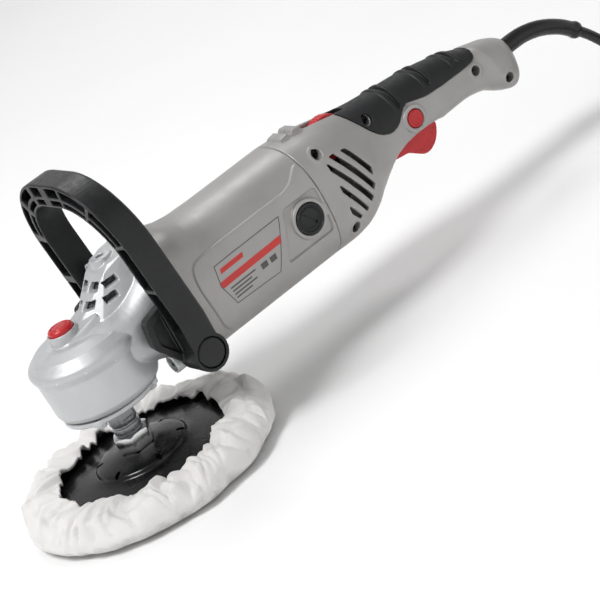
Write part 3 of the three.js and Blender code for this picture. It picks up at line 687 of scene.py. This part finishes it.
# ---- backing pad, nut and spindle ----
def make_pad():
    profile = rounded([
        (7.4, 12), (7.4, 4.3), (85, 4.3), (86, 5.2), (86, 10), (80, 15), (62, 17), (40, 19), (34.5, 20.2),
        (33, 23.2), (28, 24.4), (20, 25.7), (14.5, 26.6), (7.4, 26.6),
    ], 2.2, 5)
    pad = lathe("pad_disc", profile, sides=128)
    slots = []
    for i in range(6):
        outward = Vector((math.cos(math.radians(25 + 60 * i)), math.sin(math.radians(25 + 60 * i))))
        slots.append(prism("slot", "z", capsule(outward * 29.2, outward * 32, 3.4), 21, 30))
    combine(pad, cut=slots)
    finish(smooth(pad, 35), "spindle", "gloss_black", "backing_pad")


def make_nut():
    hexagon = circle(13.8, sides=6)
    body = prism("nut", "z", rounded(hexagon, 0.8, 3), 26.9, 38.6)
    profile = [(0, 26.9), (12.6, 26.9), (13.9, 27.8), (13.9, 37.6), (12.2, 38.6), (0, 38.6)]
    cone = lathe("cone", profile, sides=64)
    combine(body, cut=[rod("bore", "z", 7.4, (0, 0), 20, 45)], keep=[cone])
    finish(bevel(body, 0.25, 2), "spindle", "chrome", "pad_nut")


def make_spindle():
    shaft = lathe("shaft", rounded([
        (0, 14), (7, 14), (7, 38.9), (10, 38.9), (10, 44.6), (9.2, 45.2), (9.2, 46.6), (10, 47.2), (10, 64.9),
        (7.4, 64.9), (7.4, 87.6), (4.7, 87.6), (4.7, 101), (0, 101),
    ], 0.5, 3, closed=False), sides=80)
    flats = [box("flat", (-12, low, 50), (12, high, 58)) for low, high in ((8.4, 14), (-14, -8.4))]
    combine(shaft, cut=flats)
    finish(smooth(shaft, 35), "spindle", "dark_steel", "spindle")


make_pad()
make_nut()
make_spindle()


# ---- bonnet ----
HEM = (61.5, 21.4)  # radius and height
BONNET_OUTSIDE = [
    (0, 0.2), (40, 0.2), (70, 0.3), (82, 0.9), (88.5, 3), (92.4, 7), (93, 11), (91.4, 16), (87, 20.4),
    (80.5, 23), (73, 23.2), (66, 22.4), HEM,
]
BONNET_INSIDE = [
    (61.5, 19.4), (67, 19.7), (75, 19.9), (82, 18.4), (86.4, 14.6), (86.9, 9), (86.5, 4), (70, 3.6), (0, 3.6),
]
RIM_STEP = 22  # from this step of the outside, the cloth is gathered
HEM_STEP = 60
BONNET_SIDES = 720


def gather(radius, height, angle, step):
    """Moves a point of the cloth, so that it folds towards the hem and bulges at the rim."""
    tight = ease((step - RIM_STEP) / 20)
    around = Vector((math.cos(angle), math.sin(angle), 0))
    slant = 0.16 * noise.noise(around * 2.5 + Vector((0, 0, step * 0.05)))
    turned = Vector((math.cos(angle + slant), math.sin(angle + slant), 0))
    pleat = min(1, abs(noise.noise(turned * 4.6 + Vector((0, 0, step * 0.03)))) * 3)
    crease = min(1, abs(noise.noise(turned * 9 + Vector((3, 5, step * 0.045)))) * 3)
    lump = noise.noise(turned * 4 + Vector((7, 1, step * 0.05)))
    swell = noise.noise(turned * 8 + Vector((2, 9, step * 0.12)))
    lift = tight * (5.4 * pleat + 2.4 * crease + 2 * lump - 2.2)
    fold = 2.4 * math.exp(-((radius - 80 - 3 * lump) / 2.2) ** 2) * (0.6 + swell)
    hem = ease((step - 42) / 16) * (5 * noise.noise(turned * 3.5) + 1.6 * noise.noise(turned * 9))
    bulge = (2 * lump + 1.5 * swell) * ease((step - 8) / 8)
    return radius + bulge - hem, height + max(lift, -1.6) - max(fold, 0) * tight + 0.5 * swell * (1 - tight)


def make_bonnet():
    outside = smooth_path(BONNET_OUTSIDE, 5)
    inside = smooth_path(BONNET_INSIDE, 3)
    sides = BONNET_SIDES
    points, faces = [(0, *BONNET_OUTSIDE[0])], []
    rows = [(radius, height, step) for step, (radius, height) in enumerate(outside) if step > 0]
    rows += [(radius, height, -1 - i) for i, (radius, height) in enumerate(inside) if radius > 1]
    for radius, height, step in rows:
        for i in range(sides):
            angle = 2 * math.pi * i / sides
            if step >= 0:
                r, h = gather(radius, height, angle, step)
            else:
                share = ease(1 - (-1 - step) / 7)
                outer = gather(*HEM, angle, HEM_STEP)
                r, h = radius + (outer[0] - HEM[0]) * share, height + (outer[1] - HEM[1]) * share
            points.append((r * math.cos(angle), r * math.sin(angle), max(h, 0.05)))
    points.append((0, *BONNET_INSIDE[-1]))
    last = len(points) - 1
    for row in range(len(rows) - 1):
        for i in range(sides):
            j = (i + 1) % sides
            base = 1 + row * sides
            faces.append([base + i, base + j, base + sides + j, base + sides + i])
    for i in range(sides):
        j = (i + 1) % sides
        faces.append([0, 1 + j, 1 + i])
        faces.append([last, last - sides + i, last - sides + j])
    bonnet = smooth(piece("bonnet_cover", points, faces))
    finish(bonnet, "spindle", "cloth", "bonnet")


make_bonnet()


# ---- gear head ----
# corners (x, distance from the middle plane, z) of the vented turret, of the raised back that runs up to it
# from the bowl's front edge, and of the hollow inside the turret
TURRET = [
    (-5, 0, 112), (12, 19, 112), (66, 34, 112), (33.5, 0, 143), (35, 13, 142.3), (41, 12, 146),
    (64, 21, 147.4), (52, 17, 148), (66, 22, 146),
]
SPINE = [
    (-36.5, 0, 108), (-33, 10, 108), (-20, 15, 108), (20, 19, 112), (-35, 0, 111.5), (-32, 8, 112),
    (16, 14, 123.5), (16, 0, 124.5),
]
TURRET_DUCT = [
    (8, 0, 119), (19.5, 13.5, 119), (62, 22, 119), (36, 0, 140.5), (37.5, 10, 139.8), (62, 16, 143),
]
# x where the front and the side openings start, and their height
WINDOW_ROWS = [(16, 30.5, 136.4), (8, 25, 128.2)]
TOP_BOSS_X = 43.7


def windows():
    """Tools for two rows of openings, each with two in the turret's front and one on each side."""
    tools = []
    for front, start, z in WINDOW_ROWS:
        end = start + 10
        outline = [(start, z - 2.8), (end, z - 1.8), (end, z + 2.8), (start, z + 1.8)]
        for side in (-1, 1):
            low, high = span(side, 1.7, 10.8)
            tools.append(box("window", (front, low, z - 2.3), (front + 22, high, z + 2.3)))
            tools.append(prism("window", "y", outline, *span(side, 8, 36)))
    return tools


def make_turret_shade_screen():
    """A dark mesh behind the turret's openings: its dark colour is painted shade in the hollow, and its
    lighter cells are a pattern of dots.
    """
    middle = Vector((40, 0, 129))
    corners = [tuple(middle + (Vector(corner) - middle) * 0.93) for corner in TURRET_DUCT]
    shade_screen = smooth(hull("turret_shade_screen", corners), 30)
    # painted shade: a dark grey for the hollow, with lighter dots from the cells
    look = Surface("shade_screen", "2a2a2b", 0.6)
    cells = look.nodes.new("ShaderNodeTexVoronoi")
    cells.inputs["Scale"].default_value = 700
    cells.inputs["Randomness"].default_value = 0.15
    look.links.new(look.place, cells.inputs["Vector"])
    look.blotch(cells.outputs["Distance"], "5c5a5a", 0.3, 0.6)
    look.rough(look.noise(2), 0.05).bump(cells.outputs["Distance"], 0.5)
    finish(shade_screen, "housing", "black_plastic", look=look.material)


def make_gear_head():
    bowl = lathe("gear_head", [
        (0, 68), (34, 68), (37, 70), (38.2, 73), (38.8, 86), (39.3, 98), (41, 102.8), (41.4, 105),
        (40.6, 107.2), (39, 109), (33, 113.5), (22, 116), (0, 117),
    ], centre=(BOWL_X, 0))
    towers = [rod("tower", "x", 6.5, (y, z), x - 0.5, 66) for y, z, x in HEAD_SCREWS]
    bosses = [rod("boss", "y", 11, LOOP_BOLT, *ends) for ends in ((-43.5, -30), (30, 43.5))]
    combine(bowl, add=[
        skin("neck", NECK), hull("turret", TURRET), hull("spine", SPINE), *towers, *bosses,
        rod("button_boss", "z", 10.9, (BUTTON_X, 0), 108, 124),
        lathe(
            "top_boss", [(0, 138), (8.6, 138), (8, 149.5), (5.6, 149.9), (0, 149.9)],
            centre=(TOP_BOSS_X, 0), sides=48,
        ),
    ])
    combine(bowl, cut=[
        hull("duct", TURRET_DUCT), *windows(),
        rod("chamber", "z", 28.5, (0, 0), 67, 103),
        rod("shaft_tunnel", "x", 13, AXIS, 18, 50),
        rod("bearing_seat", "x", 15.3, AXIS, 48.2, 62),
        skin("mouth", [(61.5, 99, 36, 38, 3), (FLANGE_X + 1, 99, 36, 38, 3)]),
        rod("pin_hole", "z", 3.3, (-11.5, 0), 95, 116),
        rod("button_recess", "z", 9.4, (BUTTON_X, 0), 115.6, 125),
        rod("top_hole", "z", 3, (TOP_BOSS_X, 0), 141, 152),
        *[rod("screw_hole", "x", 2.3, (y, z), 30, 80, 24) for y, z, _ in HEAD_SCREWS],
        *[rod("screw_seat", "x", 4.9, (y, z), 30, x + 4.5, 32) for y, z, x in HEAD_SCREWS],
        *[rod("bolt_hole", "y", 4.2, LOOP_BOLT, *ends, 32) for ends in ((-45, -26), (26, 45))],
    ])
    melt(bowl, 0.5, 3)
    finish(bowl, "housing", "cast_aluminium", "gear_housing")


def make_gear_cover():
    profile = rounded([
        (10.6, 60.5), (24, 60.5), (26, 62), (26, 63.6), (34.4, 64.4), (34.4, 67.7), (28.2, 67.7), (28.2, 71),
        (22, 74.8), (17.8, 74.8), (17.8, 64.9), (10.6, 64.9),
    ], 0.7, 4)
    cover = lathe("cover", profile)
    lugs, holes = [], []
    for i in range(4):
        angle = math.radians(45 + 90 * i)
        centre = (COVER_SCREW_RADIUS * math.cos(angle), COVER_SCREW_RADIUS * math.sin(angle))
        lugs.append(rod("lug", "z", 5.2, centre, 63.7, 67.7))
        holes.append(rod("hole", "z", 2.4, centre, 60, 80, 24))
        make_socket_screw(f"gear_cover_screw_{i + 1}", "z", centre, 61.2, 63.6, 3.2, 78, 1.9)
    combine(cover, add=lugs, cut=holes)
    finish(melt(cover, 0.5, 2), "housing", "cast_aluminium", "gear_cover")


def make_socket_screw(node, axis, centre, face, under, radius, tip, shank):
    """A screw with a hexagon socket, from the face of its head down to its tip."""
    inward = math.copysign(1, under - face)
    screw = lathe("screw_of_" + node, rounded([
        (0, face), (radius, face), (radius, under), (shank, under), (shank, tip), (0, tip)
    ], 0.4, 3, closed=False), axis, centre, 40)
    socket = prism("socket", axis, circle(radius * 0.55, centre, 6), face - inward, face + inward * 1.6)
    combine(screw, cut=[socket])
    finish(smooth(screw, 35), "housing", "steel", node)


def make_head_screws():
    for i, (y, z, x) in enumerate(HEAD_SCREWS):
        make_socket_screw(f"gear_head_screw_{i + 1}", "x", (y, z), x, x + 4.2, 4.4, 79, 2)


def make_lock_button():
    button = lathe("spindle_button", rounded([
        (0, 120.4), (9, 120.4), (9, 126.2), (7.6, 127.3), (6.8, 127.3), (6.4, 126.7), (5.9, 126.7),
        (5.4, 127.4), (0, 127.6),
    ], 0.5, 4, closed=False), centre=(BUTTON_X, 0), sides=72)
    finish(smooth(button, 50), "spindle_lock", "red_plastic", "spindle_lock_button")


make_gear_head()
make_turret_shade_screen()
make_gear_cover()
make_head_screws()
make_lock_button()


# ---- loop handle ----
def loop_line(step=3.0):
    """Points (y, z, distance) along the middle of the loop, from the left bolt over the top to the right."""
    arm = LOOP_TOP - LOOP_CORNER - LOOP_BOLT_Z
    arc = LOOP_CORNER * math.pi / 2
    top = 2 * (LOOP_REACH - LOOP_CORNER)
    total = 2 * arm + 2 * arc + top
    result = []
    for i in range(int(total / step) + 2):
        along = min(i * step, total)
        near = min(along, total - along)
        sign = -1 if along < total / 2 else 1
        if near < arm:
            y, z = LOOP_REACH, LOOP_BOLT_Z + near
        elif near < arm + arc:
            angle = (near - arm) / LOOP_CORNER
            y = LOOP_REACH - LOOP_CORNER * (1 - math.cos(angle))
            z = LOOP_TOP - LOOP_CORNER * (1 - math.sin(angle))
        else:
            y, z = LOOP_REACH - LOOP_CORNER - (near - arm - arc), LOOP_TOP
        result.append((sign * y, z, along))
    return result, total


LOOP_LINE, LOOP_LENGTH = loop_line()


def along_loop(name, section, start=-1.0, end=1e9):
    """A bar with a section of (depth, across) points along a stretch of the loop."""
    stretch = [i for i, (_, _, along) in enumerate(LOOP_LINE) if start <= along <= end]
    rings = []
    for i in stretch:
        y, z, _ = LOOP_LINE[i]
        y0, z0, _ = LOOP_LINE[max(i - 1, 0)]
        y1, z1, _ = LOOP_LINE[min(i + 1, len(LOOP_LINE) - 1)]
        length = math.hypot(y1 - y0, z1 - z0)
        across = (-(z1 - z0) / length, (y1 - y0) / length)
        x = LOOP_X - LOOP_LEAN * max(z - 100, 0)
        rings.append([(x + u, y + v * across[0], z + v * across[1]) for u, v in section])
    return loft(name, rings)


# stretches of the loop with one row of pockets in the front, and with two rows
ARM_POCKETS = [(21, 54), (57, 90)]
CROWN_POCKETS = [(93, 120), (123, 147), (150, 165)]


def loop_pockets():
    front, back = -LOOP_DEPTH / 2 - 4, -LOOP_DEPTH / 2 + 8
    arm = [(front, -6.4), (back, -6), (back, 6), (front, 6.4)]
    crown = [
        [(front, near), (back, near), (back, far), (front, far)] for near, far in ((-6.7, -2.9), (-0.4, 6.4))
    ]
    tools = []
    for stretches, outlines in ((ARM_POCKETS, [arm]), (CROWN_POCKETS, crown)):
        for low, high in stretches:
            for start, end in ((low, high), (LOOP_LENGTH - high, LOOP_LENGTH - low)):
                tools += [along_loop("pocket", rounded(outline, 1), start, end) for outline in outlines]
    return tools


def make_loop():
    half, deep = LOOP_HALF, LOOP_DEPTH / 2
    section = rounded([
        (-deep, -half), (deep, -half), (deep, half * 0.75), (deep * 0.8, half), (-deep, half)
    ], 1.3, 4)
    loop = along_loop("loop", section)
    ends, tools = [], []
    for side in (-1, 1):
        ends.append(rod("end", "y", 13, LOOP_BOLT, *span(side, 44.2, 67), 64))
        foot = prism("foot", "y", rounded([
            (25, 94), (27.5, 112), (42, 116), (62, 110), (64, 80), (56, 62), (47, 61.5), (31, 84)
        ], 3), *span(side, 44.2, 52))
        recess = prism("recess", "y", rounded([(30, 93), (31.5, 107), (40.5, 110), (40.5, 79)], 2),
                       *span(side, 49.4, 54))
        ends.append(combine(foot, cut=[recess]))
        tools.append(rod("hole", "y", 4.2, LOOP_BOLT, *span(side, 40, 70), 32))
        tools.append(rod("cap_seat", "y", 10.6, LOOP_BOLT, *span(side, 60, 70), 48))
    combine(loop, add=ends)
    combine(loop, cut=[*tools, *loop_pockets()])
    melt(loop, 0.5, 2)
    finish(loop, "housing", "black_plastic", "loop_handle")


def make_loop_bolts():
    for side, word in SIDES:
        cap = lathe(f"loop_cap_{word}", rounded([
            (0, side * 38), (3.9, side * 38), (3.9, side * 60.4), (10.2, side * 60.4), (10.2, side * 66),
            (9.2, side * 67), (0, side * 67.2),
        ], 0.6, 4, closed=False), "y", LOOP_BOLT, 64)
        finish(smooth(cap, 40), "housing", "black_plastic", f"loop_handle_bolt_{word}")


make_loop()
make_loop_bolts()


# ---- motor housing ----
PANEL_RISE = 1.1
LABEL_LIFT = 0.07
LABEL_THICKNESS = 0.25


def follow(name, sections, outline, out, depth, side):
    """A tool over an outline in (x, z) on one side of a body, from outside it to a depth under its skin."""
    tool = prism(name, "y", outline, *span(side, 0, 60))
    return combine(tool, cut=[skin("core", sections, depth)], keep=[skin("limit", sections, -out)])


def make_motor():
    motor = skin("motor", MOTOR)
    cavities = [
        skin("hollow", refined([
            (FLANGE_X - 1, 97, 36, 40, 2.6), (96, AXIS_Z, 38.7, 41.4, 2.4), (179, AXIS_Z, 38.7, 41.4, 2.4)
        ])),
        skin("rear_mouth", [(178, AXIS_Z, 34, 36, 2.4), (SEAM_X + 1, AXIS_Z, 34, 36, 2.4)]),
    ]
    combine(motor, cut=cavities)
    panels, recesses, rings, tools = [], [], [], []
    for side in (-1, 1):
        panel = rounded([
            (79, 121), (76, 106), (80, 70), (90, 60), (187.6, 60), (187.6, 132), (170, 121)
        ], 7, 6)
        panels.append(follow("panel", MOTOR, panel, PANEL_RISE, 1.5, side))
        pocket = rounded([(157.2, 112), (186.3, 112), (184.8, 78.2), (143.4, 78.4)], 3, 5)
        recesses.append(follow("pocket", MOTOR, pocket, 4, 0.7, side))
        rings.append(rod("ring", "y", 13.9, BRUSH, *span(side, 36, 43.4), 64))
        tools.append(rod("cap_seat", "y", 11.4, BRUSH, *span(side, 39.5, 50), 64))
    combine(motor, add=panels)
    combine(motor, cut=recesses)
    combine(motor, add=rings)
    combine(motor, cut=[*tools, rod("brush_hole", "y", 8.4, BRUSH, -50, 50)])
    spider = [
        combine(
            rod("spider", "x", 14, AXIS, 178.6, SEAM_X - GAP),
            cut=[rod("seat", "x", 11.3, AXIS, 170, 187.4), rod("hole", "x", 6, AXIS, 170, 195)],
        ),
        box("arm", (179, -3, 108.5), (186, 3, 134)), box("arm", (179, -3, 58), (186, 3, 83.5)),
        box("arm", (179, 12.5, 93), (186, 35.5, 99)), box("arm", (179, -35.5, 93), (186, -12.5, 99)),
    ]
    combine(motor, add=spider)
    melt(motor, 0.65, 2)
    combine(motor, cut=[rod("screw_hole", "x", 2.1, (y, z), 60, 79.3, 24) for y, z, _ in HEAD_SCREWS])
    smooth(motor, 60)
    finish(motor, "housing", "grey_plastic", "motor_housing")


def make_brush_caps():
    for side, word in SIDES:
        cap = lathe(f"cap_{word}", rounded([
            (0, side * 39.8), (11, side * 39.8), (11, side * 42.6), (10.4, side * 43.2), (9.2, side * 43.2),
            (8.8, side * 42.4), (7.9, side * 42.4), (7.5, side * 43), (6.4, side * 43), (6, side * 42.4),
            (0, side * 42.4),
        ], 0.4, 3, closed=False), "y", BRUSH, 72)
        near, far = span(side, 41.6, 45)
        slot = box("slot", (BRUSH_X - 6.6, near, AXIS_Z - 1), (BRUSH_X + 6.6, far, AXIS_Z + 1))
        centre = Matrix.Translation(Vector((BRUSH_X, 0, AXIS_Z)) * MM)
        slot.data.transform(centre @ Matrix.Rotation(math.radians(52), 4, "Y") @ centre.inverted())
        combine(cap, cut=[slot])
        finish(smooth(cap, 35), "housing", "black_plastic", f"brush_cap_{word}")


def on_side(name, corners, look, slot, rows, columns):
    """A thin patch on the motor's left side, between four corners (x, z) in order round it."""
    a, b, c, d = (Vector(corner) for corner in corners)
    layers = []
    for out in (LABEL_LIFT, LABEL_LIFT - LABEL_THICKNESS):
        layer = []
        for row in range(rows + 1):
            for column in range(columns + 1):
                s, t = column / columns, row / rows
                x, z = (a * (1 - s) + b * s) * (1 - t) + (d * (1 - s) + c * s) * t
                layer.append((x, -half_width(MOTOR, x, z, PANEL_RISE) - out, z))
        layers.append(layer)
    count = len(layers[0])
    width = columns + 1
    faces = []
    for row in range(rows):
        for column in range(columns):
            corner = row * width + column
            quad = [corner, corner + 1, corner + width + 1, corner + width]
            faces += [quad, [i + count for i in reversed(quad)]]
    rim = [*range(width), *[row * width + columns for row in range(1, rows + 1)],
           *[rows * width + column for column in range(columns - 1, -1, -1)],
           *[row * width for row in range(rows - 1, 0, -1)]]
    for i, j in zip(rim, [*rim[1:], rim[0]]):
        faces.append([j, i, i + count, j + count])
    patch = smooth(piece(name, layers[0] + layers[1], faces), 40)
    finish(patch, "housing", slot, look=look)


def make_label():
    """A plain rating label: an outline, a red stripe, a red block and bars where lettering would be."""
    corners = [(90.4, 96.5), (93, 110.5), (152, 110.8), (134.7, 78), (96, 79.4)]
    for i, (start, end) in enumerate(zip(corners, [*corners[1:], corners[0]])):
        start, end = Vector(start), Vector(end)
        across = Vector((start[1] - end[1], end[0] - start[0])).normalized() * 0.3
        strip = [start - across, end - across, end + across, start + across]
        on_side(f"label_line_{i + 1}", strip, DARK_INK, "black_plastic", 1, 24)
    stripe = [(91, 94.2), (144.6, 95.2), (146.6, 100.2), (90.2, 99)]
    on_side("label_stripe", stripe, RED_INK, "red_plastic", 3, 32)
    block = [(95, 103.4), (115, 103.7), (116.2, 107), (95.8, 106.8)]
    on_side("label_block", block, RED_INK, "red_plastic", 3, 16)
    for i, (x, z, length) in enumerate((
        (96, 90.6, 22), (96.4, 87.9, 17), (96.8, 85.2, 20), (97.2, 82.5, 14), (123, 87.6, 5.5),
        (131, 87.6, 5.5),
    )):
        tall = 1.1 if length > 6 else 4.2
        bar = [(x, z), (x + length, z + 0.2), (x + length + 0.3, z + tall + 0.2), (x, z + tall)]
        on_side(f"label_bar_{i + 1}", bar, DARK_INK, "black_plastic", 1, 10)


make_motor()
make_brush_caps()
make_label()


# ---- tail handle ----
# x, z, and how far out on the left each well is measured from, at the skin or a little under it
TAIL_SCREWS = [(203.5, 126, 33), (203.5, 67, 33), (257, 119, 20), (355, 98, 15), (377, 79, 18.5)]
GRIP_OUTLINE = [
    (240.6, 160), (240.6, 140), (245.5, 127), (252.6, 113.5), (260, 105), (269, 100.8), (277, 102),
    (285, 109), (291, 111.8), (299, 109.2), (308, 106.6), (325, 105.3), (348, 104.6), (360, 105),
    (364.5, 112), (362, 140),
]
VENTS = [  # corners (x, z) of each slot
    [(219.6, 119.2), (224.8, 117.3), (236.3, 94.6), (234.2, 89.3)],
    [(209.1, 120.6), (213.7, 120.4), (232.7, 83.5), (229.4, 80.4)],
    [(204.2, 119.4), (227, 77), (223.1, 75.2), (204, 112.6)],
    [(203.5, 102.9), (219, 73), (216.5, 71.4), (203.5, 95.6)],
    [(203, 85.8), (211.6, 70.8), (208.6, 70.8), (203.4, 78.1)],
]
TRIGGER_RECESS = [
    (258.5, 74), (262, 79.5), (269, 83.6), (279, 86), (290, 86.8), (302, 86.2), (313, 84.2), (318.5, 81.5)
]


def grip_region(inset):
    middle = Vector((302, 128))
    outline = []
    for corner in rounded(GRIP_OUTLINE, 4, 4):
        point = Vector(corner)
        outline.append(tuple(point + (middle - point).normalized() * inset))
    return outline


def finish_halves(whole, name, slot, node):
    """Parts a piece at the middle plane into its left and its right half."""
    for side, word in SIDES:
        half = add_object(f"{name}_{word}", whole.data.copy())
        near, far = span(side, GAP / 2, 60)
        combine(half, keep=[box("half", (180, near, 0), (420, far, 200))])
        finish(smooth(half, 60), "housing", slot, f"{node}_{word}")
    bpy.data.objects.remove(whole)


def make_tail():
    tail = skin("tail", TAIL)
    combine(tail, cut=[skin("hollow", TAIL[:-5], 3.4)])  # the rear end stays solid
    tab = prism("tab", "y", rounded([
        (193, 130), (196, 141.4), (203.4, 142.4), (204.6, 140), (206.2, 140), (207.4, 142.4), (214, 141.9),
        (218, 130),
    ], 1.2, 3), -9, 9)
    rings = [rod("ring", "y", 9.9, LOCK_ON, *span(side, 14, 23.2), 48) for side in (-1, 1)]
    wells = [
        combine(rod("well", "y", 5.6, (x, z), -50, -2, 40), keep=[skin("limit", TAIL, -0.5)])
        for x, z, _ in TAIL_SCREWS
    ]
    ledge_top = [(x, z + 3) for x, z in reversed(TRIGGER_RECESS)]
    ledge = prism("ledge", "y", [*TRIGGER_RECESS, *ledge_top], -40, 40)
    combine(ledge, keep=[skin("limit", TAIL, 1)])
    guards = []
    for side in (-1, 1):
        near, far = span(side, 5.8, 7.4)
        guards.append(combine(box("guard", (205, near, 70), (253, far, 130)), keep=[skin("limit", TAIL, 1)]))
    combine(tail, add=[tab, *rings, *wells, ledge, *guards])
    band = prism("band", "y", grip_region(0), -40, 40)
    band = combine(band, cut=[skin("core", TAIL, GRIP_DEPTH)], keep=[skin("limit", TAIL, -5)])
    vents = [prism("vent", "y", rounded(outline, 0.6, 2), -60, 60) for outline in VENTS]
    combine(tail, cut=[
        band, *vents,
        prism("recess", "y", [(257.5, 50), *TRIGGER_RECESS, (319.5, 50)], -40, 40),
        rod("sleeve_hole", "x", 7.2, (0, SLEEVE_Z), 380, 400),
        box("trigger_slot", (252, -8.6, 55), (321, 8.6, 93)),
        box("dial_slot", (DIAL[0] - 16.6, -5.4, 100), (DIAL[0] + 16.6, 5.4, 150)),
        *[rod("screw_well", "y", 3.7, (x, z), -60, 7 - y, 32) for x, z, y in TAIL_SCREWS],
        rod("lock_on_hole", "y", 7, LOCK_ON, -30, -1, 48),
    ])
    finish_halves(melt(tail, 0.6, 2), "shell", "grey_plastic", "tail_handle")


def make_grip():
    grip = prism("grip", "y", grip_region(GAP), -40, 40)
    well_x, well_z, _ = TAIL_SCREWS[2]
    core = combine(
        skin("core", TAIL, GRIP_DEPTH - GAP),
        add=[
            rod("ring_clear", "y", 10.2, LOCK_ON, -60, 60),
            box("dial_clear", (216, -5.4, 100), (252.6, 5.4, 150)),
        ],
    )
    combine(grip, keep=[skin("limit", TAIL, -0.7)])
    combine(grip, cut=[core])
    ridges, grooves = [], []
    for x in (284.5, 315, 344.5):
        for dx in (-3.4, 3.4):
            outline = [(-40, 111), (-40, 150), (40, 150), (40, 111)]
            bar = prism("ridge", "x", outline, x + dx - 1.5, x + dx + 1.5)
            ridges.append(combine(bar, cut=[skin("core", TAIL, 1)], keep=[skin("limit", TAIL, -1.7)]))
        bar = prism("groove", "x", [(-40, 112), (-40, 150), (40, 150), (40, 112)], x - 1.3, x + 1.3)
        grooves.append(combine(bar, cut=[skin("core", TAIL, 0.9)]))
    combine(grip, add=ridges)
    combine(grip, cut=[*grooves, rod("well", "y", 4.2, (well_x, well_z), -60, 0, 40)])
    finish_halves(melt(grip, 0.5, 2), "grip", "soft_rubber", "soft_grip")


def make_tail_screws():
    for i, (x, z, y) in enumerate(TAIL_SCREWS):
        screw = lathe(f"handle_screw_{i + 1}", rounded([
            (0, 3.4 - y), (2.4, 3.4 - y), (3.3, 4.4 - y), (3.3, 6.6 - y), (1.5, 6.6 - y), (1.5, 6), (0, 6)
        ], 0.4, 3, closed=False), "y", (x, z), 40)
        cross = [
            box("cross", (x - a, 2 - y, z - b), (x + a, 5 - y, z + b)) for a, b in ((2.0, 0.45), (0.45, 2.0))
        ]
        combine(screw, cut=cross)
        smooth(screw, 35)
        finish(screw, "housing", "dark_steel", f"tail_handle_screw_{i + 1}", look=LOOKS["black_screw"])


# ---- controls ----
def make_trigger():
    outline = rounded([
        (254.6, 82), (262, 78.6), (274, 76.4), (283, 75.2), (288.4, 70.4), (294, 66.6), (300, 66.6),
        (306.4, 70), (311, 76), (312.8, 81), (312.6, 84), (300, 85.5), (280, 87), (261, 90.4), (255, 90),
    ], 3, 5)
    trigger = prism("trigger_blade", "y", outline, -8, 8)
    combine(trigger, cut=[rod("pin_hole", "y", 1.8, (258, 87), -10, 10, 24)])
    melt(trigger, 0.4, 6)
    finish(trigger, "trigger", "red_plastic", "trigger")


def make_lock_on():
    button = lathe("lock_on", rounded([
        (0, -13), (6.6, -13), (6.6, -22.6), (5.8, -23.6), (4.6, -23.6), (4.2, -23.1), (0, -22.9)
    ], 0.5, 4, closed=False), "y", LOCK_ON, 64)
    finish(smooth(button, 50), "lock_on_button", "red_plastic", "lock_on_button")


def make_dial():
    wheel = lathe("dial", rounded([
        (2.3, -4.6), (DIAL_RADIUS - 0.5, -4.6), (DIAL_RADIUS, -4.1), (DIAL_RADIUS, 4.1),
        (DIAL_RADIUS - 0.5, 4.6), (2.3, 4.6),
    ], 0.4, 3), "y", DIAL, 144)
    knurls = [rod("knurl", "y", 0.8, centre, -6, 6, 12) for centre in circle(DIAL_RADIUS + 0.3, DIAL, 36)]
    combine(wheel, cut=knurls)
    finish(smooth(wheel, 35), "speed_dial", "red_plastic", "speed_dial")


make_tail()
make_grip()
make_tail_screws()
make_trigger()
make_lock_on()
make_dial()


# ---- inner parts, which keep the shapes of the CAD ----
INNER_SLOTS = {
    "steel": ["crown_gear", "pinion_gear", "spindle_lock_pin", "spindle_lock_spring", "trigger_pin",
              "trigger_spring", "spindle_lower_bearing", "spindle_upper_bearing", "front_armature_bearing",
              "rear_armature_bearing"],
    "dark_steel": ["armature_shaft"],
    "copper": ["field_coil_upper", "field_coil_lower", "armature_winding", "commutator"],
    "lamination": ["stator_core", "armature_core"],
    "carbon": ["carbon_brush_left", "carbon_brush_right"],
    "black_plastic": ["cooling_fan", "switch_body", "speed_control_module", "cord_clamp"],
}


def finish_inner_nodes():
    for slot, names in INNER_SLOTS.items():
        for name in names:
            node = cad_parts[name]
            node.data.materials.clear()
            node.data.materials.append(LOOKS[slot])


finish_inner_nodes()


# ---- floor and light ----
LIGHT_TARGET = (150, 0, 80)
FLOOR_REACH = 9000
SKY_RISE = (0.05, 0.55)  # the sky darkens between these upward parts of a direction
SKY_STRENGTH = (0.9, 0.36)


def make_floor():
    corners = [(FLOOR_REACH * x, FLOOR_REACH * y, 0) for x, y in ((-1, -1), (1, -1), (1, 1), (-1, 1))]
    floor = piece("floor", corners, [[0, 1, 2, 3]])
    look = Surface("floor", "fbfbfb", 0.7, specular=0.2)
    look.blotch(look.noise(300), "f8f8f8")
    floor.data.materials.append(look.rough(look.noise(50), 0.03).material)


def make_light(name, azimuth, elevation, distance, size, power):
    data = bpy.data.lights.new(name, "AREA")
    data.shape = "DISK"
    data.size = size
    data.energy = power
    turn = aim(azimuth, elevation, 0)
    place_of_lamp = Vector(LIGHT_TARGET) * MM + turn.col[2].to_3d() * distance
    add_object(name, data).matrix_world = Matrix.Translation(place_of_lamp) @ turn


def make_world():
    """A white sky that is darker high up than at the horizon."""
    world = bpy.data.worlds.new("studio")
    scene.world = world
    world.use_nodes = True
    tree = world.node_tree
    background = tree.nodes["Background"]
    background.inputs["Color"].default_value = (1, 1, 1, 1)
    direction = tree.nodes.new("ShaderNodeSeparateXYZ")
    tree.links.new(tree.nodes.new("ShaderNodeTexCoord").outputs["Generated"], direction.inputs["Vector"])
    strength = map_range(tree, direction.outputs["Z"], *SKY_RISE, *SKY_STRENGTH)
    tree.links.new(strength, background.inputs["Strength"])


make_floor()
make_light("key", -85, 58, 2.2, 0.8, 30)
make_light("fill", 10, 30, 2.8, 1.8, 4)
make_light("back", 150, 55, 2.4, 1.2, 14)
make_world()
scene.view_settings.view_transform = "Standard"
